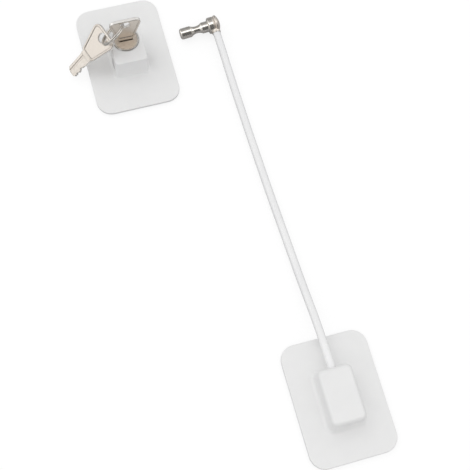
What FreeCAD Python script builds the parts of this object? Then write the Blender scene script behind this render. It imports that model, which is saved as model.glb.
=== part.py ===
"""Child safety fridge lock: a lock block and an anchor block on two adhesive plates,
joined by a coated steel cable that ends in a locking pin.

Millimetres. The origin is the middle of the lock's foam pad, on the surface it sticks to.
+Z points away from that surface and +Y along the long side of the plates.
"""
import FreeCAD, Part
import math
import os

os.makedirs("parts", exist_ok=True)
V = FreeCAD.Vector

# Adhesive plates, the same on both halves
PLATE_W = 54.0
PLATE_L = 75.0
PLATE_CORNER_R = 9.5
PLATE_T = 1.7
PLATE_EDGE_R = 0.5
PAD_T = 1.0
PAD_INSET = 0.5
ANCHOR_X = 66.0
ANCHOR_Y = -247.7
TOUCH = 0.001

# Lock block moulded on the lock plate
LOCK_W = 22.1
LOCK_L = 28.7
LOCK_H = 17.1
LOCK_DRAFT = 0.7
LOCK_CORNER_R = 2.0
LOCK_TOP_WALL = 2.2
LOCK_TOP_EDGE_R = 0.7
BLOCK_FOOT_R = 0.9

# Zinc casting in the lock block
CAST_W = 17.0
CAST_L = 23.4
CAST_CORNER_R = 1.0
CAST_FIT = 0.1
PIN_HOLE_FIT = 0.35
NECK_R = 8.2
NECK_PROUD = 0.3
NECK_BEVEL = 0.3

# Plug, which the key turns a quarter turn
PLUG_Y = 2.6
PLUG_R = 6.6
PLUG_FIT = 0.05
HEAD_R = 7.35
HEAD_T = 1.6
HEAD_BEVEL = 0.25
HEAD_SEAT_GAP = 0.05
COLLAR_SEAT_GAP = 0.1
TAIL_R = 4.6
TAIL_FLAT = 3.6
PLUG_TURN = 90.0
BODY_BOTTOM = 2.0
TAIL_GAP = 0.2

# Wafers and their springs
WAFERS = 5
WAFER_T = 1.0
WAFER_W = 4.6
WAFER_FIT = 0.1
WAFER_FIRST = 2.8
WAFER_LAST = 1.4
WAFER_END_GAP = 0.08
BROACH_DEPTH = 0.85
BROACH_FIT = 0.15
BROACH_TOP_GAP = 0.5
SPRING_R = 0.5
EAR_W = 1.1
EAR_OUT = 1.3
EAR_X = 1.5
SPRING_L = 4.2

# Stop washer and circlip on the plug's tail
WASHER_R = 7.6
WASHER_T = 1.0
WASHER_GAP = 0.1
WASHER_SEAT_R = 7.9
STOP_INNER_R = 5.7
STOP_ANGLE = 20.0
STOP_PLAY = 1.0
STOP_FIT = 0.3
STOP_ROOT = 0.2
CLIP_R = 5.6
CLIP_T = 0.5
CLIP_GROOVE_R = 3.9
CLIP_GAP = 0.05
CLIP_MOUTH_W = 3.6

# Back plates and their screws
BACK_T = 0.9
BACK_MARGIN = 3.2
BACK_CORNER_R = 2.0
BACK_FIT = 0.1
SCREW_R = 1.1
SCREW_HEAD_R = 1.9
SCREW_L = 3.6
SCREW_FIT = 0.05
SCREW_END_GAP = 0.3
SCREW_INSET = 2.1

# Key: the bow stands above its shoulder, the blade hangs below it
BOW_H = 21.0
BOW_TOP_W = 20.8
BOW_FOOT_W = 10.6
BOW_T = 2.0
BOW_WEB = 1.4
BOW_RIM = 1.2
BOW_RIM_BEVEL = 0.3
BOW_EDGE_BEVEL = 0.25
BOW_TOP_R = 4.4
BOW_FOOT_R = 1.2
BOW_LEAST_R = 0.5
HOLE_R = 3.2
HOLE_DOWN = 5.0
HOLE_BEVEL = 0.15
BLADE_W = 8.0
BLADE_T = 1.8
BLADE_L = 16.5
COLLAR_W = 8.6
COLLAR_H = 1.7
COLLAR_T = 2.1
COLLAR_RISE = 0.6
KEY_LIFT = 2.4
GROOVE_W = 1.3
GROOVE_DEPTH = 0.45
GROOVE_X = -1.7
CUT_DEPTHS = (0.7, 1.3, 0.4, 1.0, 0.7)
CUT_FLAT = 0.9
TIP_CHAMFER = 1.9
KEYWAY_SIDE = 0.3
KEYWAY_THICK = 0.15
KEYWAY_UNDER = 0.5
MOUTH_T = 3.1
MOUTH_DEPTH = 3.1

# Key ring and spare key, as they hang from the key in the lock
RING_R = 8.75
RING_WIRE_T = 1.1
RING_WIRE_W = 1.07
RING_WIRE_BEVEL = 0.3
RING_SPLIT = 0.35
RING_END_TURN = 12.0
RING_LIFT = 1.14
RING_TOWARDS = V(-0.819, -0.1415, -0.5561)
RING_NORMAL = V(-0.585, 0.557, 0.59)
SPARE_TURN = 199.5
SPARE_TILT = 40.8
SPARE_LIFT = 1.22
SPARE_TOWARDS = V(-0.6209, 0.2397, -0.7463)

# Locking pin, measured along its axis from the tip
PIN_R = 3.6
PIN_FIT = 0.15
PIN_NOSE_L = 1.0
PIN_NOSE_R = 2.0
NOTCH_AT = 11.1
NOTCH_R = 2.3
NOTCH_ARC_GAP = 0.2
COLLAR_AT = 19.1
PIN_COLLAR_R = 5.35
PIN_COLLAR_L = 3.1
PIN_COLLAR_ROUND = 1.0
PIN_RIM_L = 1.05
PIN_GROOVE_W = 0.35
PIN_GROOVE_R = 4.95
PIN_CAP_R = 5.7
PIN_CAP_L = 3.35
PIN_CAP_ROUND = 1.3
PIN_CAP_CROWN = 0.5
ROUND_BULGE = 0.2929
PIN_EDGE = 0.3
SPIGOT_R = 2.6
SPIGOT_L = 3.0
PIN_BORE_Y = -6.5
PIN_BORE_Z = 9.3
SCALLOP_GAP = 0.15
COLLAR_FIT = 0.3
PIN_TIP_X = 36.8
PIN_TIP_Y = 6.25
PIN_TURN = 2.2
PIN_LIES_GAP = 0.02

# Cable
CABLE_R = 2.45
CORE_R = 1.45
CORE_FIT = 0.05
CABLE_HOLE_AT = 24.2
CABLE_FLAT = 0.6
CABLE_FLAT_SIDE = 0.1
CABLE_LEAD = 8.0
CORE_IN_CAP = 1.6
CORE_IN_FERRULE = 9.5
CORE_END_GAP = 0.15
CABLE_Z = 9.0

# Anchor block, which holds the crimped end of the cable
ANCHOR_W = 22.9
ANCHOR_L = 35.6
ANCHOR_H = 12.7
ANCHOR_DRAFT = 1.0
ANCHOR_CORNER_R = 3.2
ANCHOR_WALL = 2.2
ANCHOR_TOP_EDGE_R = 2.0
FERRULE_R = 4.0
FERRULE_L = 12.0
FERRULE_FIT = 0.1
FERRULE_BEVEL = 0.4
GLAND_R = 5.2
GLAND_L = 2.4
GLAND_HOLE_FIT = 0.2
GLAND_MOUTH_R = 3.3
GLAND_MOUTH_DEPTH = 1.0
RIB_T = 1.6
RIB_INSET = 1.5
RIB_UNDER = 1.0
ANCHOR_SCREW_X = 5.6
ANCHOR_SCREW_Y = 12.2
ANCHOR_BOSS_R = 2.2

UP = V(0, 0, 1)
plate_top = PAD_T + PLATE_T
lock_top = plate_top + LOCK_H
anchor_top = plate_top + ANCHOR_H
back_top = PAD_T + BACK_T
cast_top = lock_top - LOCK_TOP_WALL
face_z = lock_top + NECK_PROUD
head_z = face_z - HEAD_T
plug_axis = V(0, PLUG_Y, 0)
shoulder_z = face_z + KEY_LIFT
blade_tip_z = shoulder_z - BLADE_L
keyway_bottom = blade_tip_z - KEYWAY_UNDER
seat_top = back_top + BODY_BOTTOM
head_at = COLLAR_AT + PIN_COLLAR_L
cap_at = head_at + PIN_RIM_L + PIN_GROOVE_W
anchor_at = V(ANCHOR_X, ANCHOR_Y, 0)


def box(x0, x1, y0, y1, z0, z1):
    """Box between two corners."""
    return Part.makeBox(x1 - x0, y1 - y0, z1 - z0, V(x0, y0, z0))


def cyl(r, z0, z1, at=V(0, 0, 0)):
    """Upright cylinder between two heights."""
    return Part.makeCylinder(r, z1 - z0, V(at.x, at.y, z0))


def bore_x(r, x0, x1, y, z):
    """Cylinder along X."""
    return Part.makeCylinder(r, x1 - x0, V(x0, y, z), V(1, 0, 0))


def bore_y(r, y0, y1, x, z):
    """Cylinder along Y."""
    return Part.makeCylinder(r, y1 - y0, V(x, y0, z), V(0, 1, 0))


def rounded_outline(points, radii):
    """Closed wire through points with an arc of its own radius at each corner."""
    edges = []
    starts = []
    ends = []
    mids = []
    count = len(points)
    for i, point in enumerate(points):
        back = (points[i - 1] - point).normalize()
        ahead = (points[(i + 1) % count] - point).normalize()
        half = back.getAngle(ahead) / 2
        reach = radii[i] / math.tan(half)
        middle = (back + ahead).normalize()
        centre = point + middle * (radii[i] / math.sin(half))
        starts.append(point + back * reach)
        ends.append(point + ahead * reach)
        mids.append(centre - middle * radii[i])
    for i in range(count):
        edges.append(Part.Arc(starts[i], mids[i], ends[i]).toShape())
        edges.append(Part.LineSegment(ends[i], starts[(i + 1) % count]).toShape())
    return Part.Wire(edges)


def rounded_rectangle(w, l, r, z):
    """Rectangle with round corners, centred on the Z axis."""
    corners = [V(-w / 2, -l / 2, z), V(w / 2, -l / 2, z), V(w / 2, l / 2, z), V(-w / 2, l / 2, z)]
    return rounded_outline(corners, [r] * 4)


def slab(w, l, r, z0, z1):
    """Flat plate with round corners."""
    return Part.Face(rounded_rectangle(w, l, r, z0)).extrude(V(0, 0, z1 - z0))


def tapered_block(w, l, r, draft, z0, z1):
    """Block whose sides lean in by draft from foot to top, with round upright corners."""
    block = Part.makeWedge(-w / 2, z0, -l / 2, draft - l / 2, draft - w / 2,
                           w / 2, z1, l / 2, l / 2 - draft, w / 2 - draft)
    block.rotate(V(0, 0, 0), V(1, 0, 0), 90)
    upright = [e for e in block.Edges if e.BoundBox.ZLength > (z1 - z0) / 2]
    return block.makeFillet(r, upright)


def edges_at(shape, z, inside_w, inside_l):
    """Edges that lie at one height within a rectangle about the Z axis."""
    found = []
    for edge in shape.Edges:
        b = edge.BoundBox
        flat = abs(b.ZMin - z) < TOUCH and abs(b.ZMax - z) < TOUCH
        near = max(abs(b.XMin), abs(b.XMax)) < inside_w / 2 + TOUCH
        if flat and near and max(abs(b.YMin), abs(b.YMax)) < inside_l / 2 + TOUCH:
            found.append(edge)
    return found


def export(name, shapes, move=None):
    """Write one node from its solids and report its size."""
    solids = []
    for shape in shapes:
        placed = shape.copy()
        if move is not None:
            placed.translate(move)
        solids.extend(placed.Solids)
    for solid in solids:
        if not solid.isValid() or solid.Volume <= 0:
            raise ValueError(name + " has a bad solid")
    node = solids[0] if len(solids) == 1 else Part.makeCompound(solids)
    node.exportStep("parts/" + name + ".step")
    b = node.BoundBox
    print("%-20s %2d solid(s) %9.1f mm3  z %.2f to %.2f" % (
        name, len(solids), node.Volume, b.ZMin, b.ZMax))
    return node


def plate_with_block(w, l, corner_r, draft, height, top_edge_r):
    """Plastic plate and the block moulded on it, with soft edges and a soft foot."""
    plate = slab(PLATE_W, PLATE_L, PLATE_CORNER_R, PAD_T, plate_top)
    plate = plate.makeFillet(PLATE_EDGE_R, edges_at(plate, plate_top, PLATE_W, PLATE_L))
    block = tapered_block(w, l, corner_r, draft, plate_top, plate_top + height)
    block = block.makeFillet(top_edge_r, edges_at(block, plate_top + height, w, l))
    body = plate.fuse(block)
    return body.makeFillet(BLOCK_FOOT_R, edges_at(body, plate_top, w, l))


def screw_places(x, y):
    """Four places mirrored about both axes."""
    return [V(i * x, j * y, 0) for i in (-1, 1) for j in (-1, 1)]


def countersunk_screw(at):
    """Screw driven up from the back plate, its head flush with the plate."""
    head = Part.makeCone(SCREW_HEAD_R, SCREW_R, BACK_T, V(at.x, at.y, PAD_T))
    return head.fuse(cyl(SCREW_R, back_top, back_top + SCREW_L, at))


def screw_hole(at):
    """Tool for the blind hole that a screw is driven into."""
    return cyl(SCREW_R + SCREW_FIT, back_top, back_top + SCREW_L + SCREW_END_GAP, at)


def back_plate(w, l, places):
    """Steel plate let into the underside, countersunk for its screws."""
    plate = slab(w, l, BACK_CORNER_R, PAD_T, back_top)
    for at in places:
        plate = plate.cut(Part.makeCone(SCREW_HEAD_R + SCREW_FIT, SCREW_R + SCREW_FIT, BACK_T,
                                        V(at.x, at.y, PAD_T)))
    return plate


def back_recess(w, l):
    """Tool for the shallow recess that a back plate is let into."""
    return slab(w + 2 * BACK_FIT, l + 2 * BACK_FIT, BACK_CORNER_R + BACK_FIT, PAD_T, back_top)


def foam_pad():
    """Adhesive foam pad under a plate."""
    return slab(PLATE_W - 2 * PAD_INSET, PLATE_L - 2 * PAD_INSET, PLATE_CORNER_R - PAD_INSET, 0, PAD_T)


# Lock half
cast_screws = screw_places(CAST_W / 2 - SCREW_INSET, CAST_L / 2 - SCREW_INSET)
lock_back_w = CAST_W + 2 * BACK_MARGIN
lock_back_l = CAST_L + 2 * BACK_MARGIN
collar_face_x = COLLAR_AT - NOTCH_AT


def lock_base():
    """White moulding: plate and block, hollow for the casting, open to the plug and the pin."""
    body = plate_with_block(LOCK_W, LOCK_L, LOCK_CORNER_R, LOCK_DRAFT, LOCK_H, LOCK_TOP_EDGE_R)
    cavity = slab(CAST_W + 2 * CAST_FIT, CAST_L + 2 * CAST_FIT, CAST_CORNER_R, PAD_T, cast_top)
    recess = back_recess(lock_back_w, lock_back_l)
    neck_hole = cyl(NECK_R + CAST_FIT, cast_top, lock_top, plug_axis)
    pin_hole = bore_x(PIN_R + PIN_HOLE_FIT, -LOCK_W, 0, PIN_BORE_Y, PIN_BORE_Z)
    collar_hole = bore_x(PIN_COLLAR_R + COLLAR_FIT, 0, LOCK_W, PIN_BORE_Y, PIN_BORE_Z)
    return body.cut([cavity, recess, neck_hole, pin_hole, collar_hole])


def lock_casting():
    """Zinc body that holds the plug and guides the pin."""
    body = slab(CAST_W, CAST_L, CAST_CORNER_R, back_top, cast_top)
    neck = cyl(NECK_R, cast_top, face_z, plug_axis)
    rim = [e for e in neck.Edges if abs(e.BoundBox.ZMin - face_z) < TOUCH]
    body = body.fuse(neck.makeChamfer(NECK_BEVEL, rim)).removeSplitter()
    cuts = [cyl(PLUG_R + PLUG_FIT, back_top, face_z, plug_axis)]
    cuts.append(cyl(HEAD_R + PLUG_FIT, head_z, face_z, plug_axis))
    cuts.append(cyl(WASHER_SEAT_R, back_top, seat_top, plug_axis))
    reach = PLUG_R + BROACH_DEPTH
    half = WAFER_W / 2 + BROACH_FIT
    cuts.append(box(-reach, reach, PLUG_Y - half, PLUG_Y + half, keyway_bottom, head_z - BROACH_TOP_GAP))
    cuts.append(bore_x(PIN_R + PIN_FIT, -CAST_W, CAST_W, PIN_BORE_Y, PIN_BORE_Z))
    cuts.append(bore_x(PIN_COLLAR_R + COLLAR_FIT, collar_face_x - COLLAR_SEAT_GAP, CAST_W,
                       PIN_BORE_Y, PIN_BORE_Z))
    cuts.extend([screw_hole(at) for at in cast_screws])
    stop = ring_sector(STOP_INNER_R, WASHER_SEAT_R + STOP_ROOT, seat_top - WASHER_T - WASHER_GAP,
                       seat_top, -STOP_ANGLE / 2, STOP_ANGLE)
    return body.cut(cuts).fuse(stop).removeSplitter()


def ring_sector(r0, r1, z0, z1, start, sweep):
    """Sector of a ring about the plug's axis, from an angle on."""
    outer = Part.makeCylinder(r1, z1 - z0, V(0, PLUG_Y, z0), UP, sweep)
    inner = Part.makeCylinder(r0, z1 - z0, V(0, PLUG_Y, z0), UP, sweep)
    sector = outer.cut(inner)
    sector.rotate(V(0, PLUG_Y, 0), UP, start)
    return sector


# Plug and what turns with it
groove_top = seat_top - WASHER_T - 2 * WASHER_GAP
groove_bottom = groove_top - CLIP_T - 2 * CLIP_GAP
tail_end = back_top + TAIL_GAP
body_end = seat_top + WASHER_GAP
first_wafer_z = head_z - WAFER_FIRST
wafer_pitch = (first_wafer_z - blade_tip_z - WAFER_LAST) / (WAFERS - 1)
wafer_levels = [first_wafer_z - wafer_pitch * i for i in range(WAFERS)]
slot_half_y = WAFER_W / 2 + WAFER_FIT
slot_half_z = WAFER_T / 2 + WAFER_FIT


def plug_flats(grow):
    """The tail's section: a circle with two flats, as a tool for the plug and the washer."""
    r = TAIL_R + grow
    f = TAIL_FLAT + grow
    tail = cyl(r, tail_end, body_end, plug_axis)
    return tail.common(box(-f, f, PLUG_Y - r, PLUG_Y + r, tail_end, body_end))


def lock_plug():
    """Plug: head, body with keyway and wafer slots, scallop for the pin, keyed tail."""
    head = cyl(HEAD_R, head_z + HEAD_SEAT_GAP, face_z, plug_axis)
    rim = [e for e in head.Edges if abs(e.BoundBox.ZMin - face_z) < TOUCH]
    barrel = cyl(PLUG_R, body_end, head_z + HEAD_SEAT_GAP, plug_axis)
    body = head.makeChamfer(HEAD_BEVEL, rim).fuse(barrel)
    body = body.fuse(plug_flats(0)).removeSplitter()
    half_w = BLADE_W / 2 + KEYWAY_SIDE
    half_t = BLADE_T / 2 + KEYWAY_THICK
    cuts = [box(-half_w, half_w, PLUG_Y - half_t, PLUG_Y + half_t, keyway_bottom, face_z)]
    cuts.append(box(-half_w, half_w, PLUG_Y - MOUTH_T / 2, PLUG_Y + MOUTH_T / 2,
                    face_z - MOUTH_DEPTH, face_z))
    cuts.append(bore_x(PIN_R + PIN_FIT + SCALLOP_GAP, -HEAD_R, HEAD_R, PIN_BORE_Y, PIN_BORE_Z))
    groove = cyl(PLUG_R, groove_bottom, groove_top, plug_axis)
    cuts.append(groove.cut(cyl(CLIP_GROOVE_R, groove_bottom, groove_top, plug_axis)))
    for z in wafer_levels:
        cuts.append(box(-HEAD_R, HEAD_R, PLUG_Y - slot_half_y, PLUG_Y + slot_half_y,
                        z - slot_half_z, z + slot_half_z))
        cuts.append(box(EAR_X - SPRING_L, EAR_X + EAR_W + WAFER_FIT, PLUG_Y + slot_half_y,
                        PLUG_Y + WAFER_W / 2 + EAR_OUT + WAFER_FIT, z - slot_half_z, z + slot_half_z))
    return body.cut(cuts)


def wafer(z):
    """Brass wafer with a window for the blade and an ear for its spring."""
    half_t = WAFER_T / 2
    plate = box(-HEAD_R, HEAD_R, PLUG_Y - WAFER_W / 2, PLUG_Y + WAFER_W / 2, z - half_t, z + half_t)
    plate = plate.common(cyl(PLUG_R - WAFER_END_GAP, z - half_t, z + half_t, plug_axis))
    ear = box(EAR_X, EAR_X + EAR_W, PLUG_Y, PLUG_Y + WAFER_W / 2 + EAR_OUT, z - half_t, z + half_t)
    half_w = BLADE_W / 2 + KEYWAY_SIDE / 2
    half_y = BLADE_T / 2 + KEYWAY_THICK
    window = box(-half_w, half_w, PLUG_Y - half_y, PLUG_Y + half_y, z - half_t, z + half_t)
    return plate.fuse(ear).cut(window).removeSplitter()


def wafer_spring(z):
    """Outer form of the coil spring that presses one wafer's ear."""
    return bore_x(SPRING_R, EAR_X - SPRING_L, EAR_X, PLUG_Y + WAFER_W / 2 + EAR_OUT / 2, z)


def stop_washer():
    """Washer keyed on the tail, notched so that the stop lets it turn a quarter turn."""
    top = seat_top - 0.5 * WASHER_GAP
    washer = cyl(WASHER_R, top - WASHER_T, top, plug_axis)
    notch = ring_sector(STOP_INNER_R - STOP_FIT, WASHER_SEAT_R, top - WASHER_T, top,
                        -STOP_ANGLE / 2 - PLUG_TURN - STOP_PLAY, PLUG_TURN + STOP_ANGLE + 2 * STOP_PLAY)
    return washer.cut([notch, plug_flats(CLIP_GAP)])


def retaining_clip():
    """Circlip in the tail's groove."""
    z0 = groove_bottom + CLIP_GAP
    clip = cyl(CLIP_R, z0, z0 + CLIP_T, plug_axis)
    clip = clip.cut(cyl(CLIP_GROOVE_R + CLIP_GAP, z0, z0 + CLIP_T, plug_axis))
    return clip.cut(box(-CLIP_MOUTH_W / 2, CLIP_MOUTH_W / 2, PLUG_Y, PLUG_Y + CLIP_R, z0, z0 + CLIP_T))


# Keys: modelled about the shoulder's middle, bow up, with the bitting towards +X
def bow_outline(inset, y):
    """Outline of the bow, set in from its edge."""
    slope = (BOW_TOP_W - BOW_FOOT_W) / 2 / BOW_H
    side = inset * math.hypot(1, slope)
    foot = BOW_FOOT_W / 2 + slope * inset - side
    top = BOW_TOP_W / 2 - slope * inset - side
    corners = [V(-foot, y, inset), V(foot, y, inset), V(top, y, BOW_H - inset), V(-top, y, BOW_H - inset)]
    top_r = max(BOW_TOP_R - inset, BOW_LEAST_R)
    foot_r = max(BOW_FOOT_R - inset, BOW_LEAST_R)
    return rounded_outline(corners, [foot_r, foot_r, top_r, top_r])


def bow():
    """Bow with a raised bevelled rim on both faces and the ring's hole."""
    half = BOW_T / 2
    plate = Part.Face(bow_outline(0, -half)).extrude(V(0, BOW_T, 0))
    outline = [e for e in plate.Edges if e.BoundBox.YLength < TOUCH]
    plate = plate.makeChamfer(BOW_EDGE_BEVEL, outline)
    for side in (-1, 1):
        floor = bow_outline(BOW_RIM + BOW_RIM_BEVEL, side * BOW_WEB / 2)
        mouth = bow_outline(BOW_RIM, side * half)
        plate = plate.cut(Part.makeLoft([floor, mouth], True, True))
    hole = Part.makeCylinder(HOLE_R, BOW_T, V(0, -half, BOW_H - HOLE_DOWN), V(0, 1, 0))
    plate = plate.cut(hole)
    lips = [e for e in plate.Edges if len(e.Vertexes) == 1 and e.BoundBox.YLength < TOUCH]
    return plate.makeChamfer(HOLE_BEVEL, lips)


def blade():
    """Blade with a milled groove on both faces, a bevelled tip and one bitted edge."""
    half_w = BLADE_W / 2
    half_t = BLADE_T / 2
    solid = box(-half_w, half_w, -half_t, half_t, -BLADE_L, 0)
    for side in (-1, 1):
        y = side * half_t
        groove = box(GROOVE_X - GROOVE_W / 2, GROOVE_X + GROOVE_W / 2, min(y, y - side * GROOVE_DEPTH),
                     max(y, y - side * GROOVE_DEPTH), -BLADE_L, -COLLAR_H)
        solid = solid.cut(groove)
    solid = solid.cut(corner_cut(-half_w, -1, TIP_CHAMFER))
    solid = solid.cut(corner_cut(half_w, 1, TIP_CHAMFER * 0.8))
    for z, depth in zip(wafer_levels, CUT_DEPTHS):
        solid = solid.cut(bitting_cut(z - shoulder_z, depth))
    return solid


def corner_cut(x, side, size):
    """Wedge that bevels one corner of the blade's tip."""
    reach = BLADE_T
    corner = [V(x, -reach, -BLADE_L), V(x - side * size, -reach, -BLADE_L), V(x, -reach, -BLADE_L + size)]
    return Part.Face(Part.makePolygon(corner + corner[:1])).extrude(V(0, 2 * reach, 0))


def bitting_cut(z, depth):
    """Cut with a flat root and 45 degree flanks in the blade's edge."""
    x = BLADE_W / 2
    flat = CUT_FLAT / 2
    reach = BLADE_T
    points = [V(x - depth, -reach, z - flat), V(x + 0.5, -reach, z - flat - depth - 0.5),
              V(x + 0.5, -reach, z + flat + depth + 0.5), V(x - depth, -reach, z + flat)]
    return Part.Face(Part.makePolygon(points + points[:1])).extrude(V(0, 2 * reach, 0))


def key():
    """Whole key: bow, collar and blade in one piece."""
    collar = box(-COLLAR_W / 2, COLLAR_W / 2, -COLLAR_T / 2, COLLAR_T / 2, -COLLAR_H, COLLAR_RISE)
    return bow().fuse([collar, blade()]).removeSplitter()


# Where the ring and the spare key hang, from the hole of the key in the lock
key_hole = V(0, PLUG_Y, shoulder_z + BOW_H - HOLE_DOWN)
ring_centre = key_hole + RING_TOWARDS * (RING_R + RING_LIFT)
spare_hole = ring_centre + SPARE_TOWARDS * (RING_R + SPARE_LIFT)


def spare_frame():
    """Directions of the spare key: towards its tip, across it and out of its upper face."""
    turn = math.radians(SPARE_TURN)
    tilt = math.radians(SPARE_TILT)
    flat = V(math.cos(turn), math.sin(turn), 0)
    tip = flat * math.cos(tilt) - UP * math.sin(tilt)
    across = V(-math.sin(turn), math.cos(turn), 0)
    return tip, across, tip.cross(across)


def spare_key():
    """Spare key hanging on the ring, its tip just over the plate."""
    tip, across, face = spare_frame()
    hole = V(0, 0, BOW_H - HOLE_DOWN)
    m = FreeCAD.Matrix(across.x, -face.x, -tip.x, 0, across.y, -face.y, -tip.y, 0,
                       across.z, -face.z, -tip.z, 0, 0, 0, 0, 1)
    placement = FreeCAD.Placement(m)
    shape = key()
    shape.Placement = FreeCAD.Placement(spare_hole - placement.multVec(hole), placement.Rotation)
    return shape


def key_ring():
    """Split ring: two turns of bevelled flat wire side by side, each open at one place."""
    inner = RING_R - RING_WIRE_T / 2
    outer = RING_R + RING_WIRE_T / 2
    bevel = RING_WIRE_BEVEL
    quarter = [(outer - bevel, 0), (outer, bevel), (outer, RING_WIRE_W - bevel),
               (outer - bevel, RING_WIRE_W), (inner + bevel, RING_WIRE_W),
               (inner, RING_WIRE_W - bevel), (inner, bevel), (inner + bevel, 0)]
    corners = [V(r, 0, z) for r, z in quarter] + [V(r, 0, -z) for r, z in quarter[-2:0:-1]]
    section = Part.Face(Part.makePolygon(corners + corners[:1]))
    ring = section.revolve(V(0, 0, 0), UP, 360).Solids[0]
    for side in (-1, 1):
        slit = box(inner - bevel, outer + bevel, -RING_SPLIT / 2, RING_SPLIT / 2,
                   min(0, side * RING_WIRE_W), max(0, side * RING_WIRE_W))
        slit.rotate(V(0, 0, 0), UP, RING_END_TURN * side)
        ring = ring.cut(slit)
    ring.Placement = FreeCAD.Placement(ring_centre, FreeCAD.Rotation(UP, RING_NORMAL))
    return ring


# Locking pin: a profile turned about its axis, lying tilted on the surface
lean = math.atan2(PIN_CAP_R - PIN_R, cap_at)
pin_tip = V(PIN_TIP_X, PIN_TIP_Y, (PIN_R + PIN_LIES_GAP) * math.cos(lean))
pin_turn = math.radians(PIN_TURN)
pin_axis = V(math.cos(lean) * math.cos(pin_turn), math.cos(lean) * math.sin(pin_turn), math.sin(lean))
pin_place = FreeCAD.Placement(pin_tip, FreeCAD.Rotation(V(1, 0, 0), pin_axis))
flat_y = CABLE_FLAT - PIN_CAP_R
cable_end = pin_place.multVec(V(CABLE_HOLE_AT, flat_y, 0))
cable_lead = pin_place.multVec(V(CABLE_HOLE_AT, flat_y - CABLE_LEAD, 0))


def turned(profile):
    """Solid turned about the X axis from a profile of points (along, radius).

    A line leads to each point from the one before it. A point with a third item, (end along, end
    radius), is the middle of an arc that ends there.
    """
    edges = []
    last = V(*profile[0], 0)
    for item in profile[1:]:
        through = V(item[0], item[1], 0)
        if len(item) == 3:
            end = V(*item[2], 0)
            edges.append(Part.Arc(last, through, end).toShape())
        else:
            end = through
            edges.append(Part.LineSegment(last, end).toShape())
        last = end
    edges.append(Part.LineSegment(last, V(*profile[0], 0)).toShape())
    return Part.Face(Part.Wire(edges)).revolve(V(0, 0, 0), V(1, 0, 0), 360).Solids[0]


def cable_flat():
    """Tool for the flat that the end of the cable's coating stands on."""
    start = CABLE_HOLE_AT - CABLE_R - CABLE_FLAT_SIDE
    return box(start, cap_at + PIN_CAP_L, -2 * PIN_CAP_R, flat_y, -PIN_CAP_R, PIN_CAP_R)


def locking_pin():
    """Pin: tip, round-bottomed notch that the plug's body fills, barrel, collar and spigot."""
    arc_r = PLUG_R + NOTCH_ARC_GAP
    rise = PIN_R - NOTCH_R
    half = math.sqrt(arc_r ** 2 - (arc_r - rise) ** 2)
    nose = (PIN_NOSE_L * 0.35, (PIN_NOSE_R + 2 * PIN_R) / 3, (PIN_NOSE_L, PIN_R))
    bulge = ROUND_BULGE * PIN_COLLAR_ROUND
    profile = [(0, 0), (0, PIN_NOSE_R), nose, (NOTCH_AT - half, PIN_R),
               (NOTCH_AT, NOTCH_R, (NOTCH_AT + half, PIN_R)),
               (COLLAR_AT, PIN_R), (COLLAR_AT, PIN_COLLAR_R - PIN_COLLAR_ROUND),
               (COLLAR_AT + bulge, PIN_COLLAR_R - bulge, (COLLAR_AT + PIN_COLLAR_ROUND, PIN_COLLAR_R)),
               (head_at, PIN_COLLAR_R), (head_at, SPIGOT_R),
               (head_at + SPIGOT_L, SPIGOT_R), (head_at + SPIGOT_L, 0)]
    shape = turned(profile).cut(cable_flat())
    shape.Placement = pin_place
    return shape


def pin_head():
    """Head pressed on the spigot: the collar's rear, a groove, and the cap with a round edge."""
    end = cap_at + PIN_CAP_L
    rim_end = head_at + PIN_RIM_L
    bulge = ROUND_BULGE * PIN_CAP_ROUND
    edge = end - PIN_CAP_CROWN - PIN_CAP_ROUND
    face_r = PIN_CAP_R - PIN_CAP_ROUND
    round_edge = (edge + PIN_CAP_ROUND - bulge, PIN_CAP_R - bulge, (end - PIN_CAP_CROWN, face_r))
    crown_r = (face_r ** 2 + PIN_CAP_CROWN ** 2) / (2 * PIN_CAP_CROWN)
    crown_drop = crown_r - math.sqrt(crown_r ** 2 - (face_r / 2) ** 2)
    crown = (end - crown_drop, face_r / 2, (end, 0))
    profile = [(head_at, 0), (head_at, PIN_COLLAR_R), (rim_end - PIN_EDGE, PIN_COLLAR_R),
               (rim_end, PIN_COLLAR_R - PIN_EDGE), (rim_end, PIN_GROOVE_R), (cap_at, PIN_GROOVE_R),
               (cap_at, PIN_CAP_R - PIN_EDGE), (cap_at + PIN_EDGE, PIN_CAP_R), (edge, PIN_CAP_R),
               round_edge, crown]
    spigot = bore_x(SPIGOT_R + CORE_FIT, head_at, head_at + SPIGOT_L, 0, 0)
    hole = bore_y(CORE_R + CORE_FIT, flat_y, flat_y + CORE_IN_CAP + CORE_END_GAP, CABLE_HOLE_AT, 0)
    shape = turned(profile).cut([cable_flat(), spigot, hole])
    shape.Placement = pin_place
    return shape


# Anchor half, modelled about its own middle
cable_inner_y = ANCHOR_L / 2 - ANCHOR_DRAFT * (CABLE_Z - plate_top) / ANCHOR_H
gland_end = cable_inner_y - ANCHOR_WALL - GLAND_L
anchor_screws = screw_places(ANCHOR_SCREW_X, ANCHOR_SCREW_Y)
anchor_cavity_top = anchor_top - ANCHOR_WALL


def anchor_cavity():
    """Inside of the anchor block."""
    w = ANCHOR_W - 2 * ANCHOR_WALL
    l = ANCHOR_L - 2 * ANCHOR_WALL
    top_draft = ANCHOR_DRAFT * (anchor_cavity_top - PAD_T) / ANCHOR_H
    inner_r = max(ANCHOR_CORNER_R - ANCHOR_WALL, BOW_LEAST_R)
    return tapered_block(w, l, inner_r, top_draft, PAD_T, anchor_cavity_top)


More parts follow.
